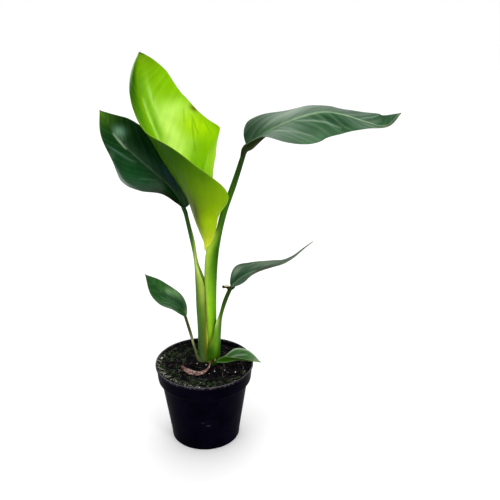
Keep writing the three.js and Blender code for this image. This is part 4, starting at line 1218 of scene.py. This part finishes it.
def make_husk():
    """The withered brown husk that curves over the soil in front of the stem."""
    rows, columns = 130, 22
    t, w = np.linspace(0, 1, rows), np.linspace(0, 1, columns)
    origin, up, side = (part[:, None] for part in frames(HUSK["path"], [(0, 0, 1), (0, 0, 1)], t))
    lean, curl = (np.radians(along(HUSK[key], t))[:, None] for key in ("lean", "curl"))
    angle = lean + curl * w
    ragged = 1 + 0.2 * lumps(np.stack([t * 60, 0 * t, 0 * t], axis=-1), 3.1, 8)
    step = (along(HUSK["width"], t) * ragged / (columns - 1))[:, None]
    out, rise = (np.cumsum(part, axis=1) * step for part in (np.sin(angle), np.cos(angle)))
    points = origin + side * out[..., None] + up * rise[..., None]
    normal = side * np.cos(angle)[..., None] - up * np.sin(angle)[..., None]
    down = t[:, None]
    crease = 0.7 * lumps(points * (1, 1, 1.6), 2.2, 9) + 0.16 * np.sin(w * 22 + 9 * down)
    half = HUSK["thickness"] / 2
    sheets = [points + normal * (crease + shift)[..., None] for shift in (half, -half)]
    colours = np.zeros((2, rows, columns, 3)) + linear("#7a5e58")
    for k, sheet in enumerate(sheets):
        pale, dark = lumps(sheet * (1, 1, 3), 3, 10), lumps(sheet, 2.2, 12)
        colours[k] = blend_to(colours[k], "#ccb0a2", 0.8 * np.clip(2.4 * pale, 0, 1))
        colours[k] = blend_to(colours[k], "#342020", 0.9 * np.clip(2.4 * dark, 0, 1))
    # The outside of the roll gets a painted highlight and a dark end, and its inside is darkened all over
    # as painted shade.
    shine = bell((down - 0.32) / 0.12) * bell((w - 0.28) / 0.16)
    colours[1] = blend_to(colours[1], "#fce8d8", shine)
    colours[1] = blend_to(colours[1], "#4c2424", 0.8 * bell(down / 0.13) + 0 * w)
    colours[0] = blend_to(colours[0], "#140e0e", np.full((rows, columns), 0.8))
    skin = grain_material("husk", 0.75, 0.0002, 600.0)
    add_sheets("dry_husk", sheets, colours, {}, skin, "dry_sheath")


# Withered bits: a name, the slot, and its strips as (colour, path, radii).
SCRAPS = {
    "leaf_e_scrap": ("leaf_e_stalk", [
        ("#1c1408", [(20.4, 5.6, 173.6), (21.4, 5.6, 174.3), (24, 5.8, 174.1), (27.6, 6, 172.6)],
         [1, 1.7, 1.1, 1.8]),
        ("#c4bc94", [(22, 5.3, 175.3), (24, 5.2, 175.9), (26.4, 5.4, 175.7), (28, 5.6, 175)],
         [0.4, 0.9, 0.8, 0.4]),
    ]),
    "foot_scraps": ("soil", [
        ("#4c3c0a", [(7, -0.6, 85), (7.8, -1.2, 88), (8.2, -1, 91), (8, -0.4, 93.5)],
         [0.7, 1.1, 0.8, 0.3]),
        ("#a8a070", [(9.6, -1.4, 85), (10.8, -1.6, 87.6), (11.6, -1.2, 90), (11.4, -0.6, 92)],
         [0.5, 0.9, 0.6, 0.2]),
        ("#a8a490", [(1.2, -3.4, 85.2), (1.8, -3.8, 86.4), (3.2, -4.2, 86.2)], [0.3, 0.6, 0.3]),
        ("#74683c", [(4.6, -1.2, 86), (5, -1.8, 88.4), (5.8, -2, 89.6)], [0.4, 0.7, 0.3]),
        ("#3c2810", [(12.4, -2.6, 85.2), (13, -1.8, 88), (12.8, -0.8, 90.4)], [0.6, 0.9, 0.3]),
    ]),
}


def make_scraps():
    for name, (slot, strips) in SCRAPS.items():
        heap = Heap()
        for colour, path, radii in strips:
            steps = np.linspace(0, 1, 5 * len(path))
            points, faces = tube(along(path, steps), along(radii, steps), 12)
            heap.add(points + 0.3 * lumps(points, 1.3, 14)[:, None], faces, colour)
        heap.build(name, grain_material(name + "_skin", 0.8, 0.0002, 900.0), slot)


# ---------- build ----------
make_pot()
make_soil()
for number, leaf in enumerate(BLADES):
    make_blade(leaf, number + 1)
    make_stalk(leaf)
    make_neck(leaf)
make_crumbs()
make_bark()
make_perlite()
make_fibres()
make_moss()
make_rim_roots()
make_husk()
make_scraps()

crown_skin, _, _ = new_material("crown_skin", Roughness=0.8)
paint_plain(crown_skin, 300.0, 5.0, rgba("#4a3a22"), rgba("#8a7448"))
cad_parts["crown"].data.materials.clear()
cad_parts["crown"].data.materials.append(crown_skin)


# ---------- floor, light and camera ----------
def make_floor():
    paper, _, _ = new_material("floor_paper", Roughness=0.9, Specular_IOR_Level=0.1)
    paint_plain(paper, 3.0, 2.0, (0.93, 0.93, 0.93, 1), (0.96, 0.96, 0.96, 1))
    far = 12000  # half the width of the floor
    points = [(-far, -far, 0), (far, -far, 0), (far, far, 0), (-far, far, 0)]
    floor = mesh_object("floor", points, [(0, 1, 2, 3)], paper, smooth=False)


# A light's name, kind, place, target, energy, and size in metres or, for the sun, in radians.
LIGHTS = [
    ("window", "AREA", (0.71, -0.88, 0.51), (-0.03, 0.03, 0.33), 3.5, 0.35),
    ("key", "AREA", (-0.7, -0.7, 1.4), (0, 0, 0.25), 2.5, 0.9),
    ("back", "AREA", (0.1, 0.8, 1.2), (0, 0, 0.25), 3.5, 1.2),
    ("sky", "SUN", (0, 0, 2), (0.05, 0.05, 0), 2.0, 2.0),
]


def make_light(name, kind, place, target, energy, size):
    data = bpy.data.lights.new(name, kind)
    data.energy = energy
    if kind == "AREA":
        data.shape = "DISK"
        data.size = size
    else:
        data.angle = size
    made = bpy.data.objects.new(name, data)
    made.location = place
    made.rotation_euler = (Vector(target) - Vector(place)).to_track_quat("-Z", "Y").to_euler()
    bpy.context.scene.collection.objects.link(made)


def make_world():
    """A pale studio: white low down all round and behind the plant, dimmer overhead and in front."""
    world = bpy.data.worlds.new("studio")
    world.use_nodes = True
    background = world.node_tree.nodes["Background"]
    place = node(world.node_tree, "TexCoord").outputs["Generated"]
    _, ahead, up = node(world.node_tree, "SeparateXYZ", {0: place}).outputs
    behind = times(spread(ahead, -0.1, 0.5), spread(up, 0.75, 0.45))
    bright = maths("MAXIMUM", spread(up, 0.3, 0.18), behind)
    world.node_tree.links.new(spread(bright, 0, 1, 0.3, 1.0), background.inputs["Strength"])
    background.inputs["Color"].default_value = (1, 1, 1, 1)
    bpy.context.scene.world = world


make_floor()
for light in LIGHTS:
    make_light(*light)
make_world()

CAMERA = {"place": (0.049, -0.775, 0.554), "down": 23.4, "lens": 60}
camera_data = bpy.data.cameras.new("camera")
camera_data.lens = CAMERA["lens"]
camera_data.sensor_width = 36
camera = bpy.data.objects.new("camera", camera_data)
camera.location = CAMERA["place"]
camera.rotation_euler = (math.radians(90 - CAMERA["down"]), 0, 0)
bpy.context.scene.collection.objects.link(camera)
bpy.context.scene.camera = camera
bpy.context.scene.view_settings.view_transform = "Standard"
